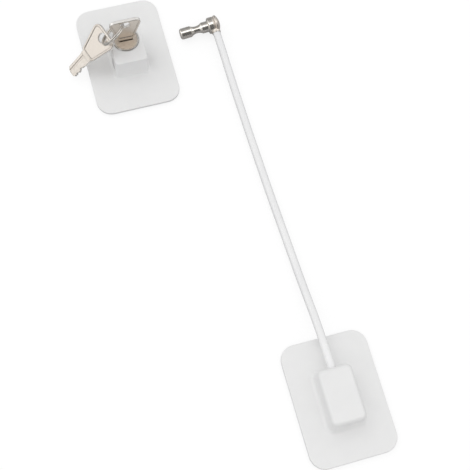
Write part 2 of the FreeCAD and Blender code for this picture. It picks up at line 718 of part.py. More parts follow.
def anchor_base():
    """White moulding: plate and soft-edged block with the gland, ferrule ribs and screw bosses."""
    body = plate_with_block(ANCHOR_W, ANCHOR_L, ANCHOR_CORNER_R, ANCHOR_DRAFT, ANCHOR_H,
                            ANCHOR_TOP_EDGE_R)
    hollow = anchor_cavity()
    body = body.cut(hollow)
    gland = bore_y(GLAND_R, gland_end, cable_inner_y, 0, CABLE_Z)
    ribs = []
    ferrule_back = gland_end - FERRULE_FIT - FERRULE_L
    for y in (ferrule_back + RIB_INSET, gland_end - RIB_INSET - RIB_T):
        ribs.append(box(-ANCHOR_W / 2, ANCHOR_W / 2, y, y + RIB_T, CABLE_Z - RIB_UNDER, anchor_top))
    ribs.append(box(-FERRULE_R, FERRULE_R, ferrule_back - RIB_T - FERRULE_FIT, ferrule_back - FERRULE_FIT,
                    CABLE_Z - FERRULE_R, anchor_top))
    bosses = [cyl(ANCHOR_BOSS_R, back_top, anchor_top, at) for at in anchor_screws]
    inner = hollow.common(gland.fuse(ribs + bosses))
    body = body.fuse(inner).removeSplitter()
    cuts = [back_recess(ANCHOR_W, ANCHOR_L)]
    cuts.append(bore_y(FERRULE_R + FERRULE_FIT, ferrule_back - FERRULE_FIT, gland_end, 0, CABLE_Z))
    cuts.append(bore_y(CABLE_R + GLAND_HOLE_FIT, 0, ANCHOR_L, 0, CABLE_Z))
    cuts.append(bore_y(GLAND_MOUTH_R, cable_inner_y - GLAND_MOUTH_DEPTH, ANCHOR_L, 0, CABLE_Z))
    cuts.extend([screw_hole(at) for at in anchor_screws])
    return body.cut(cuts)


def anchor_ferrule():
    """Crimped sleeve on the end of the cable, inside the gland."""
    y1 = gland_end - FERRULE_FIT
    sleeve = bore_y(FERRULE_R, y1 - FERRULE_L, y1, 0, CABLE_Z)
    sleeve = sleeve.makeChamfer(FERRULE_BEVEL, [e for e in sleeve.Edges if len(e.Vertexes) == 1])
    bore = bore_y(CORE_R + CORE_FIT, y1 - CORE_IN_FERRULE - CORE_END_GAP, y1, 0, CABLE_Z)
    return sleeve.cut(bore)


# Cable route: chosen points from the ferrule to the pin's cap, with the runs along the surface
cable_start = V(ANCHOR_X, ANCHOR_Y + gland_end - FERRULE_FIT, CABLE_Z)
ROUTE = [
    cable_start,
    V(66.0, -209.0, 9.0),
    V(65.3, -176.0, 2.9),
    V(64.0, -142.0, 2.55),
    V(62.6, -109.0, 2.6),
    V(61.6, -71.0, 2.55),
    V(60.9, -36.0, 2.75),
    cable_lead,
    cable_end,
]


def rounded_path(points):
    """Straight runs joined by tangent arcs, each arc as large as its two runs allow."""
    edges = []
    radii = []
    last = points[0]
    for before, corner, after in zip(points, points[1:], points[2:]):
        back = before - corner
        ahead = after - corner
        shorter = min(back.Length, ahead.Length)
        back.normalize()
        ahead.normalize()
        half_turn = (math.pi - back.getAngle(ahead)) / 2
        reach = 0.45 * shorter
        radius = reach / math.tan(half_turn)
        middle = (back + ahead).normalize()
        inside = radius / math.cos(half_turn) - radius
        start = corner + back * reach
        end = corner + ahead * reach
        edges.append(Part.LineSegment(last, start).toShape())
        edges.append(Part.Arc(start, corner + middle * inside, end).toShape())
        radii.append(radius)
        last = end
    edges.append(Part.LineSegment(last, points[-1]).toShape())
    return Part.Wire(edges), radii


def tube(path, radius):
    """Solid of round section along a path."""
    start = path.Edges[0].valueAt(path.Edges[0].FirstParameter)
    ahead = path.Edges[0].tangentAt(path.Edges[0].FirstParameter)
    circle = Part.Wire([Part.makeCircle(radius, start, ahead)])
    return path.makePipeShell([circle], True, False)


def run_on(path, before, after):
    """The same path, run on straight at both ends."""
    first = path.Edges[0]
    last = path.Edges[-1]
    start = first.valueAt(first.FirstParameter) - first.tangentAt(first.FirstParameter) * before
    end = last.valueAt(last.LastParameter) + last.tangentAt(last.LastParameter) * after
    edges = [Part.LineSegment(start, first.valueAt(first.LastParameter)).toShape()]
    edges.extend(path.Edges[1:-1])
    edges.append(Part.LineSegment(last.valueAt(last.FirstParameter), end).toShape())
    return Part.Wire(edges)


def cable():
    """Jacket and core along one route; the core runs on into the ferrule and the cap."""
    path, radii = rounded_path(ROUTE)
    jacket = tube(path, CABLE_R)
    core = tube(run_on(path, CORE_IN_FERRULE, CORE_IN_CAP), CORE_R)
    print("cable bend radii", [round(r, 1) for r in radii])
    print("cable length %.1f mm, volume %.1f against %.1f mm3" % (
        path.Length, jacket.Volume, math.pi * CABLE_R ** 2 * path.Length))
    return jacket.cut(tube(path, CORE_R + CORE_FIT)), core


if __name__ == "__main__":
    export("lock_base", [lock_base()])
    export("lock_pad", [foam_pad()])
    export("lock_casting", [lock_casting()])
    export("lock_back_plate", [back_plate(lock_back_w, lock_back_l, cast_screws)])
    export("lock_plate_screws", [countersunk_screw(at) for at in cast_screws])
    export("lock_plug", [lock_plug()])
    for number, level in enumerate(wafer_levels):
        export("wafer_%d" % (number + 1), [wafer(level)])
    export("wafer_springs", [wafer_spring(level) for level in wafer_levels])
    export("stop_washer", [stop_washer()])
    export("retaining_clip", [retaining_clip()])
    export("key", [key()], V(0, PLUG_Y, shoulder_z))
    export("key_ring", [key_ring()])
    export("spare_key", [spare_key()])
    export("locking_pin", [locking_pin()])
    export("pin_head", [pin_head()])
    jacket_shape, core_shape = cable()
    export("cable_jacket", [jacket_shape])
    export("wire_core", [core_shape])
    export("anchor_base", [anchor_base()], anchor_at)
    export("anchor_pad", [foam_pad()], anchor_at)
    export("anchor_back_plate", [back_plate(ANCHOR_W, ANCHOR_L, anchor_screws)], anchor_at)
    export("anchor_plate_screws", [countersunk_screw(at) for at in anchor_screws], anchor_at)
    export("anchor_ferrule", [anchor_ferrule()], anchor_at)
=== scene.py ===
# %% [markdown]
# # Dressing a child safety fridge lock
#
# The lock has two white moulded halves that stick to a fridge, a coated steel cable with a
# locking pin, and two keys on a split ring. Its places, sizes and joints come ready made from
# the frame. In this lesson we give every piece its real surface, model the pieces whose
# curves show from close by, and light the whole for a plain studio photograph.

# %% Load the frame
import math

import bmesh
import bpy
from mathutils import Matrix, Vector


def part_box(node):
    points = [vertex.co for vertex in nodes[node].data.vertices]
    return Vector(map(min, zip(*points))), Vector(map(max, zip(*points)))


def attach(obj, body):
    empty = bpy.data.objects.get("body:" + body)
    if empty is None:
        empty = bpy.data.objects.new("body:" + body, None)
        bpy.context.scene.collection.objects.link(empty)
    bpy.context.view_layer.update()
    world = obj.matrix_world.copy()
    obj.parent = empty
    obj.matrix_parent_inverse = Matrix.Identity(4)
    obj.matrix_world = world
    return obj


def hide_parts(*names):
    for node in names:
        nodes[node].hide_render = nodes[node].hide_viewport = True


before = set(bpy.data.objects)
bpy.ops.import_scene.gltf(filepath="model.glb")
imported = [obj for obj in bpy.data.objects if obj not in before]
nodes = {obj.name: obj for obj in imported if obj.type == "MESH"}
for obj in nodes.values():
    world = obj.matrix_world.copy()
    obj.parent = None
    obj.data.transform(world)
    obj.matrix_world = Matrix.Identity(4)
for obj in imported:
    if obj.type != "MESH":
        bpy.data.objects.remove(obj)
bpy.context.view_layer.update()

MM = 0.001
SAME_PLACE = 1e-6


def corners_of(node):
    """Lowest and highest corner of a frame node, in millimetres."""
    low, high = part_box(node)
    return low / MM, high / MM


def shift(*place):
    """Matrix that moves by x, y and z in millimetres."""
    return Matrix.Translation(Vector(place) * MM)


def new_object(name, data):
    """Object with the given data, in the scene."""
    thing = bpy.data.objects.new(name, data)
    bpy.context.scene.collection.objects.link(thing)
    return thing


def copy_of(thing):
    """Copy of an object with a mesh of its own, in the scene."""
    copy = thing.copy()
    copy.data = thing.data.copy()
    bpy.context.scene.collection.objects.link(copy)
    return copy


def stand_for(piece, body, node):
    """Let a piece ride on a body and stand for the node that it replaces."""
    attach(piece, body)
    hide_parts(node)
    return piece


# %% [markdown]
# ## The camera
#
# A camera can be placed by eye, with a tracking constraint, or from measured directions. The
# photograph was measured: with the plates known to be rectangles of 54 by 75 mm, its own
# position and its three directions follow. We put these into a matrix, which is exact and
# leaves nothing to a constraint.

# %% Camera at the photograph's angle
CAMERA_AT = Vector((-60.26, -311.04, 600.80)) * MM
CAMERA_LOOK = Vector((0.1498, 0.2792, -0.9485)).normalized()
CAMERA_UP = Vector((0.2386, 0.9208, 0.3087)).normalized()
LENS_MM = 78.46
SENSOR_MM = 36.0
CLIP_START = 0.01


def place_camera():
    """Add the camera and turn it so that it looks along CAMERA_LOOK."""
    data = bpy.data.cameras.new("photo_camera")
    data.lens = LENS_MM
    data.sensor_width = SENSOR_MM
    data.clip_start = CLIP_START
    camera = new_object("photo_camera", data)
    right = CAMERA_LOOK.cross(CAMERA_UP).normalized()
    up = right.cross(CAMERA_LOOK)
    turn = Matrix((right, up, -CAMERA_LOOK)).transposed()
    camera.matrix_world = Matrix.Translation(CAMERA_AT) @ turn.to_4x4()
    bpy.context.scene.camera = camera


place_camera()

# %% [markdown]
# ## The cable's line
#
# The real cable is a steel wire rope of 2.9 mm in a white coating of 4.9 mm. It is stiff: it
# leaves its block level, comes down to the table over some 60 mm, lies there in one long
# shallow bow, and lifts again to the cap of the pin. A mesh tube would show its straight
# steps, so we use one NURBS spline through a few given points, with a round bevel. The
# cable comes before every other piece, because its room decides whether the frame can stay.

# %% Where the cable starts and ends
CABLE_DIAMETER = 4.9
CABLE_X = 66.0
CABLE_Z = 9.0
CABLE_HOLE_AT = 23.1
CABLE_LEAD = 8.0
CAP_R = 5.7
CABLE_FLAT = 0.6
PIN_R = 3.6
CAP_AT = 23.6
PIN_TIP = Vector((36.8, 6.25, 3.6058))
PIN_TURN = math.radians(2.2)
PIN_LEAN = math.atan2(CAP_R - PIN_R, CAP_AT)

flat = math.cos(PIN_LEAN)
pin_axis = Vector((flat * math.cos(PIN_TURN), flat * math.sin(PIN_TURN), math.sin(PIN_LEAN)))
pin_turn = Vector((1, 0, 0)).rotation_difference(pin_axis).to_matrix()
flat_y = CABLE_FLAT - CAP_R
cable_end = PIN_TIP + pin_turn @ Vector((CABLE_HOLE_AT, flat_y, 0))
cable_lead = PIN_TIP + pin_turn @ Vector((CABLE_HOLE_AT, flat_y - CABLE_LEAD, 0))
ferrule_low, ferrule_high = corners_of("anchor_ferrule")
cable_start = Vector((CABLE_X, ferrule_high.y, CABLE_Z))
CABLE_ROUTE = [
    cable_start,
    Vector((CABLE_X, -209.0, CABLE_Z)),
    Vector((65.3, -176.0, 2.9)),
    Vector((64.0, -142.0, 2.55)),
    Vector((62.6, -109.0, 2.6)),
    Vector((61.6, -71.0, 2.55)),
    Vector((60.9, -36.0, 2.75)),
    cable_lead,
    cable_end,
]
print("cable from", [round(c, 2) for c in cable_start], "to", [round(c, 2) for c in cable_end])


# %% The cable's coating
def spline_curve(name, points, radius, resolution=12, roundness=8, kind="NURBS"):
    """One open spline of third order with a round section, in millimetres.

    The size is in the points' radius, because Blender adds that radius to the curve's box.
    """
    curve = bpy.data.curves.new(name, "CURVE")
    curve.dimensions = "3D"
    spline = curve.splines.new(kind)
    spline.points.add(len(points) - 1)
    for point, place in zip(spline.points, points):
        point.co = (*(Vector(place) * MM), 1)
        point.radius = radius * MM
    spline.order_u = 3
    spline.use_endpoint_u = True
    spline.resolution_u = resolution
    curve.bevel_depth = 1 if radius > 0 else 0
    curve.bevel_resolution = roundness
    curve.use_fill_caps = radius > 0
    return new_object(name, curve)


def line_points(points, resolution):
    """Points along the spline's own line, read from the curve without a bevel."""
    guide = spline_curve("guide", points, 0, resolution)
    bpy.context.view_layer.update()
    mesh = bpy.data.meshes.new_from_object(guide)
    found = [v.co / MM for v in mesh.vertices]
    bpy.data.meshes.remove(mesh)
    bpy.data.objects.remove(guide)
    return found


cable = spline_curve("cable", CABLE_ROUTE, CABLE_DIAMETER / 2, resolution=24, roundness=12)
stand_for(cable, "root", "cable_jacket")
cable_line = line_points(CABLE_ROUTE, 24)

# %% [markdown]
# ## Helpers for modelling by operator
#
# Operators act on whatever is selected, so each helper first clears the selection. Edges and
# faces are picked in code by their place, as one would pick them with the mouse. A shape is
# best bevelled while it is simple, cut with booleans after that, and finished with a small
# bevel on all that is still sharp, because no real moulding or machined part has a perfectly
# sharp edge and it is these edges that catch the light.


# %% Selection
def activate(*things):
    """Make the given objects the only selected ones, the first of them active."""
    if bpy.context.mode != "OBJECT":
        bpy.ops.object.mode_set(mode="OBJECT")
    bpy.ops.object.select_all(action="DESELECT")
    for thing in things:
        thing.select_set(True)
    bpy.context.view_layer.objects.active = things[0]


def edit(thing, mode="EDGE"):
    """Open a mesh for editing with nothing selected."""
    activate(thing)
    bpy.ops.object.mode_set(mode="EDIT")
    bpy.ops.mesh.select_mode(type=mode)
    bpy.ops.mesh.select_all(action="DESELECT")


def edit_all(thing):
    """Open a mesh for editing with all of it selected."""
    edit(thing, "VERT")
    bpy.ops.mesh.select_all(action="SELECT")


def done():
    """Leave edit mode."""
    bpy.ops.object.mode_set(mode="OBJECT")


def pick(thing, mode, wanted):
    """Select the vertices, edges or faces whose corners, in millimetres, pass a test."""
    edit(thing, mode)
    mesh = bmesh.from_edit_mesh(thing.data)
    parts = {"VERT": mesh.verts, "EDGE": mesh.edges, "FACE": mesh.faces}[mode]
    for part in parts:
        corners = [part.co / MM] if mode == "VERT" else [v.co / MM for v in part.verts]
        part.select_set(wanted(*corners) if mode == "EDGE" else all(wanted(c) for c in corners))
    mesh.select_flush_mode()
    bmesh.update_edit_mesh(thing.data)


def taper(thing, wanted, size, centre=(0, 0, 0)):
    """Scale the vertices that pass a test about a centre, in metres."""
    pick(thing, "VERT", wanted)
    bpy.ops.transform.resize(value=size, center_override=centre)
    done()


def round_edges(thing, wanted, radius, segments):
    """Bevel the edges that pass a test on their two ends into a round."""
    pick(thing, "EDGE", wanted)
    bpy.ops.mesh.bevel(offset_type="OFFSET", offset=radius * MM, segments=segments, profile=0.5,
                       affect="EDGES", clamp_overlap=False)
    done()


# %% Primitives and modifiers
def settle(thing):
    """Put an object's place, turn and scale into its mesh."""
    activate(thing)
    bpy.ops.object.transform_apply(location=True, rotation=True, scale=True)
    return thing


def add_box(low, high):
    """Box primitive between two corners, in millimetres."""
    size = [b - a for a, b in zip(low, high)]
    middle = [(a + b) / 2 * MM for a, b in zip(low, high)]
    bpy.ops.mesh.primitive_cube_add(size=1, location=middle)
    thing = bpy.context.active_object
    thing.scale = [s * MM for s in size]
    return settle(thing)


def centred_box(width, depth, z0, z1):
    """Box about the Z axis between two heights."""
    return add_box((-width / 2, -depth / 2, z0), (width / 2, depth / 2, z1))


def add_rod(radius, start, end, sides=64):
    """Cylinder primitive between two points, in millimetres."""
    a = Vector(start) * MM
    b = Vector(end) * MM
    bpy.ops.mesh.primitive_cylinder_add(radius=radius * MM, depth=(b - a).length, vertices=sides,
                                        location=(a + b) / 2)
    thing = bpy.context.active_object
    thing.rotation_euler = (b - a).to_track_quat("Z", "Y").to_euler()
    return settle(thing)


def apply_modifiers(thing):
    """Apply every modifier of an object in order."""
    activate(thing)
    for modifier in list(thing.modifiers):
        bpy.ops.object.modifier_apply(modifier=modifier.name)


def combine(thing, operation, *tools):
    """Cut, join or intersect with tool objects, which are then removed."""
    for tool in tools:
        modifier = thing.modifiers.new("combine", "BOOLEAN")
        modifier.operation = operation
        modifier.solver = "EXACT"
        modifier.object = tool
        apply_modifiers(thing)
        bpy.data.objects.remove(tool)


def move_to(thing, matrix):
    """Turn and move a mesh itself, so that its object stays at the origin."""
    thing.data.transform(matrix)
    thing.data.update()


def as_mesh(thing):
    """Turn a curve into a mesh."""
    activate(thing)
    bpy.ops.object.convert(target="MESH")
    return bpy.context.active_object


def joined(things):
    """Make one mesh of several."""
    activate(*things)
    bpy.ops.object.join()
    return bpy.context.active_object


def finish_mesh(thing, name, edge_radius=0, edge_angle=40, smooth_angle=40):
    """Merge doubles, face outwards, round what is sharp and shade smooth by angle."""
    edit_all(settle(thing))
    bpy.ops.mesh.remove_doubles(threshold=SAME_PLACE)
    bpy.ops.mesh.dissolve_degenerate(threshold=SAME_PLACE)
    bpy.ops.mesh.normals_make_consistent(inside=False)
    done()
    if edge_radius:
        bevel = thing.modifiers.new("edges", "BEVEL")
        bevel.width = edge_radius * MM
        bevel.segments = 2
        bevel.limit_method = "ANGLE"
        bevel.angle_limit = math.radians(edge_angle)
        bevel.miter_outer = "MITER_ARC"
    apply_modifiers(thing)
    bpy.ops.object.shade_smooth_by_angle(angle=math.radians(smooth_angle))
    weighted = thing.modifiers.new("flat faces stay flat", "WEIGHTED_NORMAL")
    weighted.keep_sharp = True
    apply_modifiers(thing)
    thing.name = name
    thing.data.name = name
    print(name, len(thing.data.polygons), "faces")
    return thing


# %% [markdown]
# ## The white mouldings
#
# Each half is one injection moulding: a thin plate with rounded corners and a hollow block
# that grows out of it. The lock block has steep sides and a crisp top edge. The cable block is
# a soft cushion of a shape, with drafted sides and a round top edge. Both have a fillet at the
# foot, since plastic can't flow round a sharp inner corner. We start from two boxes, taper and
# round them, join them, and then round the edge where they meet. Sculpting would give the same
# look, but here the sizes have to agree with the parts inside.

# %% Sizes shared by both mouldings
PLATE_T = 1.7
PLATE_CORNER_R = 9.5
PLATE_EDGE_R = 0.45
CORNER_STEPS = 14
BACK_T = 0.9
UPRIGHT_RISE = 1.0
UPRIGHT_LEAN = 5.0
# Heights that are this NEAR are the same, and a cutting tool goes PAST the surface it opens.
NEAR = 0.01
PAST = 1.0

lock_low, lock_high = corners_of("lock_base")
anchor_low, anchor_high = corners_of("anchor_base")
plate_top = lock_low.z + PLATE_T
anchor_middle = (anchor_low + anchor_high) / 2
print("plate from %.2f to %.2f mm, anchor about" % (lock_low.z, plate_top), anchor_middle)


# %% One moulding
def uprights(a, b):
    """True for an edge that stands up."""
    return abs(a.z - b.z) > UPRIGHT_RISE and (a.xy - b.xy).length < UPRIGHT_LEAN


def at_level(z):
    """Test for an edge that lies at a height or above it."""
    return lambda a, b: min(a.z, b.z) > z - NEAR


def moulding(low, high, width, length, corner_r, draft, top_r, foot_r):
    """Plate and drafted block in one piece, about the Z axis, before it is hollowed."""
    plate = centred_box(2 * high.x, 2 * high.y, low.z, plate_top)
    round_edges(plate, uprights, PLATE_CORNER_R, CORNER_STEPS)
    round_edges(plate, at_level(plate_top), PLATE_EDGE_R, segments=4)
    block = centred_box(width, length, plate_top - PLATE_T / 2, high.z)
    taper(block, lambda v: v.z > high.z - NEAR, (1 - 2 * draft / width, 1 - 2 * draft / length, 1))
    round_edges(block, uprights, corner_r, segments=8)
    round_edges(block, at_level(high.z), top_r, segments=6)
    combine(plate, "UNION", block)

    def at_foot(a, b):
        """True for an edge where the block meets the plate."""
        level = abs(a.z - plate_top) < NEAR and abs(b.z - plate_top) < NEAR
        return level and abs(a.x) < width / 2 + NEAR and abs(a.y) < length / 2 + NEAR

    round_edges(plate, at_foot, foot_r, segments=6)
    return plate


# %% The lock's moulding
LOCK_W = 22.1
LOCK_L = 28.7
CAST_FIT = 0.1
NECK_GAP = 0.4
NECK_GAP_DEPTH = 0.9
NECK_R = 8.2
NECK_SIDES = 128
COLLAR_R = 5.35
COLLAR_FIT = 0.3
PIN_HOLE_FIT = 0.35
BACK_FIT = 0.1

plug_low, plug_high = corners_of("lock_plug")
cast_low, cast_high = corners_of("lock_casting")
lock_back_low, lock_back_high = corners_of("lock_back_plate")
plug_middle = (plug_low + plug_high) / 2
PIN_BORE_Y = -6.5
PIN_BORE_Z = 9.3
LOCK_TOP_WALL = 2.2
cast_top = lock_high.z - LOCK_TOP_WALL


def grown(low, high, room, z0, z1):
    """Box tool as wide as a node and its clearance, between two heights."""
    return add_box((low.x - room, low.y - room, z0), (high.x + room, high.y + room, z1))


def lock_moulding():
    """The lock's moulding, hollow for its casting and open to the plug and the pin."""
    body = moulding(lock_low, lock_high, LOCK_W, LOCK_L, corner_r=2.0, draft=0.7, top_r=0.6, foot_r=1.5)
    cavity = grown(cast_low, cast_high, CAST_FIT, lock_low.z - PAST, cast_top)
    recess = grown(lock_back_low, lock_back_high, BACK_FIT, lock_low.z - PAST, lock_low.z + BACK_T)
    above = (0, plug_middle.y, lock_high.z + PAST)
    neck = add_rod(NECK_R + CAST_FIT, (0, plug_middle.y, cast_top - PAST), above, NECK_SIDES)
    gap = add_rod(NECK_R + NECK_GAP, (0, plug_middle.y, lock_high.z - NECK_GAP_DEPTH), above, NECK_SIDES)
    bore = (0, PIN_BORE_Y, PIN_BORE_Z)
    left = add_rod(PIN_R + PIN_HOLE_FIT, (-LOCK_W, PIN_BORE_Y, PIN_BORE_Z), bore)
    right = add_rod(COLLAR_R + COLLAR_FIT, bore, (LOCK_W, PIN_BORE_Y, PIN_BORE_Z))
    combine(body, "DIFFERENCE", cavity, recess, neck, gap, left, right)
    return finish_mesh(body, "lock_moulding", edge_radius=0.12, edge_angle=50)


lock_shell = stand_for(lock_moulding(), "root", "lock_base")

# %% [markdown]
# ## The cable block's moulding
#
# The same plate carries a lower block with soft flanks. The cable goes in at its upper end
# through a round mouth that is a little wider than the cable, so a thin dark gap shows beside
# it. Inside, a gland wall stops the crimped sleeve, and ribs keep it level.

# %% The anchor's moulding
ANCHOR_W = 22.9
ANCHOR_L = 35.6
ANCHOR_DRAFT = 1.0
ANCHOR_WALL = 2.2
ANCHOR_CORNER_R = 3.4
GLAND_MOUTH_R = 3.3
GLAND_MOUTH_DEPTH = 1.0
GLAND_HOLE_FIT = 0.2
FERRULE_R = 4.0
FERRULE_FIT = 0.1
RIB_T = 1.6
RIB_FROM_END = 1.5
RIB_SIDE = 3.0
RIB_DROP = 1.0
anchor_back_low, anchor_back_high = corners_of("anchor_back_plate")


def anchor_moulding():
    """The cable's moulding, hollow, with the mouth, gland and ribs for the crimped sleeve."""
    half = (anchor_high - anchor_low) / 2
    high = Vector((half.x, half.y, anchor_high.z))
    body = moulding(anchor_low, high, ANCHOR_W, ANCHOR_L, corner_r=ANCHOR_CORNER_R, draft=ANCHOR_DRAFT,
                    top_r=2.2, foot_r=2.2)
    slope = ANCHOR_DRAFT / (anchor_high.z - plate_top)
    mouth_y = ANCHOR_L / 2 - slope * (CABLE_Z - plate_top)
    gland_y = ferrule_high.y - anchor_middle.y + FERRULE_FIT
    inner_top = anchor_high.z - ANCHOR_WALL
    wall = ANCHOR_CORNER_R
    cavity = add_box((-ANCHOR_W / 2 + wall, -ANCHOR_L / 2 + wall, anchor_low.z - PAST),
                     (ANCHOR_W / 2 - wall, gland_y, inner_top))
    recess = grown(anchor_back_low - anchor_middle, anchor_back_high - anchor_middle, BACK_FIT,
                   anchor_low.z - PAST, anchor_low.z + BACK_T)
    combine(body, "DIFFERENCE", cavity, recess)
    ferrule_back = ferrule_low.y - anchor_middle.y
    side = ANCHOR_W / 2 - RIB_SIDE
    for y in (ferrule_back + RIB_FROM_END, gland_y - RIB_FROM_END - RIB_T):
        rib = add_box((-side, y, CABLE_Z - RIB_DROP), (side, y + RIB_T, inner_top + PAST))
        combine(body, "UNION", rib)
    sleeve = add_rod(FERRULE_R + FERRULE_FIT, (0, ferrule_back - FERRULE_FIT, CABLE_Z),
                     (0, gland_y, CABLE_Z))
    hole = add_rod(CABLE_DIAMETER / 2 + GLAND_HOLE_FIT, (0, 0, CABLE_Z), (0, ANCHOR_L, CABLE_Z))
    mouth = add_rod(GLAND_MOUTH_R, (0, mouth_y - GLAND_MOUTH_DEPTH, CABLE_Z), (0, ANCHOR_L, CABLE_Z))
    combine(body, "DIFFERENCE", sleeve, hole, mouth)
    move_to(body, shift(anchor_middle.x, anchor_middle.y, 0))
    return finish_mesh(body, "anchor_moulding", edge_radius=0.15, edge_angle=50)


anchor_shell = stand_for(anchor_moulding(), "root", "anchor_base")

# %% [markdown]
# ## Foam pads
#
# A pad of white foam tape, 1 mm thick, is stuck under each plate. Foam is cut with a blade
# and springs back, so its edge bulges a little. A full cloth simulation would be wasted on a
# pad this thin, so we round its edges over almost its whole thickness.


# %% The two pads
PAD_INSET = 0.5
PAD_BULGE = 0.42


def foam_pad(node, name):
    """Pad with a bulging edge, in the room of a frame node."""
    low, high = corners_of(node)
    pad = add_box(low, high)
    round_edges(pad, lambda a, b: (a.xy - b.xy).length < NEAR, PLATE_CORNER_R - PAD_INSET, CORNER_STEPS)
    round_edges(pad, lambda a, b: abs(a.z - b.z) < NEAR, (high.z - low.z) * PAD_BULGE, segments=4)
    stand_for(finish_mesh(pad, name), "root", node)
    return pad


lock_foam = foam_pad("lock_pad", "lock_foam_pad")
anchor_foam = foam_pad("anchor_pad", "anchor_foam_pad")

# %% [markdown]
# ## The locking pin and its cap
#
# The pin is turned on a lathe: a round nose, a shank with a round-bottomed notch, and a collar
# with a round shoulder. Behind a narrow groove comes the domed cap. A lathe part is a profile
# spun about its axis. We draw half of the profile point by point, as with extrude and a mouse,
# and spin it. The notch follows a formula, since the plug's body has to fill it. A short boss
# on the head's side holds the end of the cable.

# %% A profile that is spun
NOSE_R = 1.5
NOTCH_AT = 11.1
NOTCH_R = 2.3
NOTCH_ARC_R = 6.8
COLLAR_AT = 19.1
COLLAR_ROUND = 1.0
HEAD_AT = 22.2
RIM_L = 1.05
GROOVE_RING_R = 4.95
CAP_ROUND = 0.9
CAP_RING_L = 1.5
CAP_DOME = 2.0
TURNED_EDGE = 0.3
BOSS_R = 2.85
BOSS_ROOT = 3.2
BOSS_TOP = 6.6
BOSS_EDGE = 0.35
BOSS_FIT = 0.05
CORE_DIAMETER = 2.9
CORE_IN_CAP = 1.5
CORE_END_GAP = 0.15
SPIN_STEPS = 96
SMALL_SIDES = 72


def arc(middle, radius, start, end, steps):
    """Points (along, out) of an arc about a middle, from one angle to another in degrees."""
    found = []
    for i in range(steps + 1):
        angle = math.radians(start + (end - start) * i / steps)
        found.append((middle[0] + radius * math.cos(angle), middle[1] + radius * math.sin(angle)))
    return found


def spun(profile):
    """Solid spun about the X axis from points (along, out), in millimetres."""
    bpy.ops.mesh.primitive_plane_add(size=1)
    thing = bpy.context.active_object
    edit_all(thing)
    bpy.ops.mesh.merge(type="CENTER")
    bpy.ops.transform.translate(value=(profile[0][0] * MM, 0, profile[0][1] * MM))
    for last, point in zip(profile, profile[1:]):
        step = ((point[0] - last[0]) * MM, 0, (point[1] - last[1]) * MM)
        bpy.ops.mesh.extrude_vertices_move(TRANSFORM_OT_translate={"value": step})
    bpy.ops.mesh.select_all(action="SELECT")
    bpy.ops.mesh.spin(steps=SPIN_STEPS, angle=math.tau, center=(0, 0, 0), axis=(1, 0, 0))
    bpy.ops.mesh.select_all(action="SELECT")
    bpy.ops.mesh.remove_doubles(threshold=SAME_PLACE)
    bpy.ops.mesh.normals_make_consistent(inside=False)
    done()
    return thing


# %% The pin
PIN_PLACE = shift(*PIN_TIP) @ pin_turn.to_4x4()


def boss_rod(radius, inner, outer):
    """Rod across the head where the cable goes in, between two distances from its axis."""
    return add_rod(radius, (CABLE_HOLE_AT, -inner, 0), (CABLE_HOLE_AT, -outer, 0), SMALL_SIDES)


def locking_pin():
    """Pin from its nose to the middle of the collar."""
    half_angle = math.degrees(math.acos((NOTCH_ARC_R - PIN_R + NOTCH_R) / NOTCH_ARC_R))
    middle = (NOTCH_AT, NOTCH_R + NOTCH_ARC_R)
    notch = arc(middle, NOTCH_ARC_R, 270 - half_angle, 270 + half_angle, steps=16)
    nose = arc((NOSE_R, PIN_R - NOSE_R), NOSE_R, 180, 90, steps=6)
    shoulder = arc((COLLAR_AT + COLLAR_ROUND, COLLAR_R - COLLAR_ROUND), COLLAR_ROUND, 180, 90, steps=8)
    profile = [(0, 0)] + nose + notch + [(COLLAR_AT, PIN_R)] + shoulder
    pin = spun(profile + [(HEAD_AT, COLLAR_R), (HEAD_AT, 0)])
    combine(pin, "DIFFERENCE", boss_rod(BOSS_R + BOSS_FIT, BOSS_ROOT, 2 * CAP_R))
    move_to(pin, PIN_PLACE)
    return finish_mesh(pin, "locking_pin_turned", smooth_angle=50)


pin_piece = stand_for(locking_pin(), "root", "locking_pin")


# %% The cap
def pin_cap():
    """Rear of the collar, the groove, the domed cap, and the boss that holds the cable."""
    rim_end = HEAD_AT + RIM_L
    rim = arc((rim_end - TURNED_EDGE, COLLAR_R - TURNED_EDGE), TURNED_EDGE, 90, 0, steps=4)
    front = arc((CAP_AT + CAP_ROUND, CAP_R - CAP_ROUND), CAP_ROUND, 180, 90, steps=8)
    ring_end = CAP_AT + CAP_RING_L
    dome_r = (CAP_R ** 2 + CAP_DOME ** 2) / (2 * CAP_DOME)
    half = math.degrees(math.asin(CAP_R / dome_r))
    dome = arc((ring_end + CAP_DOME - dome_r, 0), dome_r, half, 0, steps=16)
    groove = [(rim_end, GROOVE_RING_R), (CAP_AT, GROOVE_RING_R)]
    cap = spun([(HEAD_AT, 0), (HEAD_AT, COLLAR_R)] + rim + groove + front + dome)
    boss = boss_rod(BOSS_R, BOSS_ROOT, BOSS_TOP)
    round_edges(boss, lambda a, b: max(a.y, b.y) < -BOSS_TOP + NEAR, BOSS_EDGE, segments=4)
    combine(cap, "UNION", boss)
    depth = -flat_y - BOSS_FIT
    mouth = boss_rod(CABLE_DIAMETER / 2 + BOSS_FIT, depth, 2 * CAP_R)
    hole = boss_rod(CORE_DIAMETER / 2 + BOSS_FIT, depth - CORE_IN_CAP - CORE_END_GAP, CAP_R)
    combine(cap, "DIFFERENCE", mouth, hole)
    move_to(cap, PIN_PLACE)
    return finish_mesh(cap, "pin_cap_turned", edge_radius=0.06, edge_angle=50, smooth_angle=50)


cap_piece = stand_for(pin_cap(), "root", "pin_head")

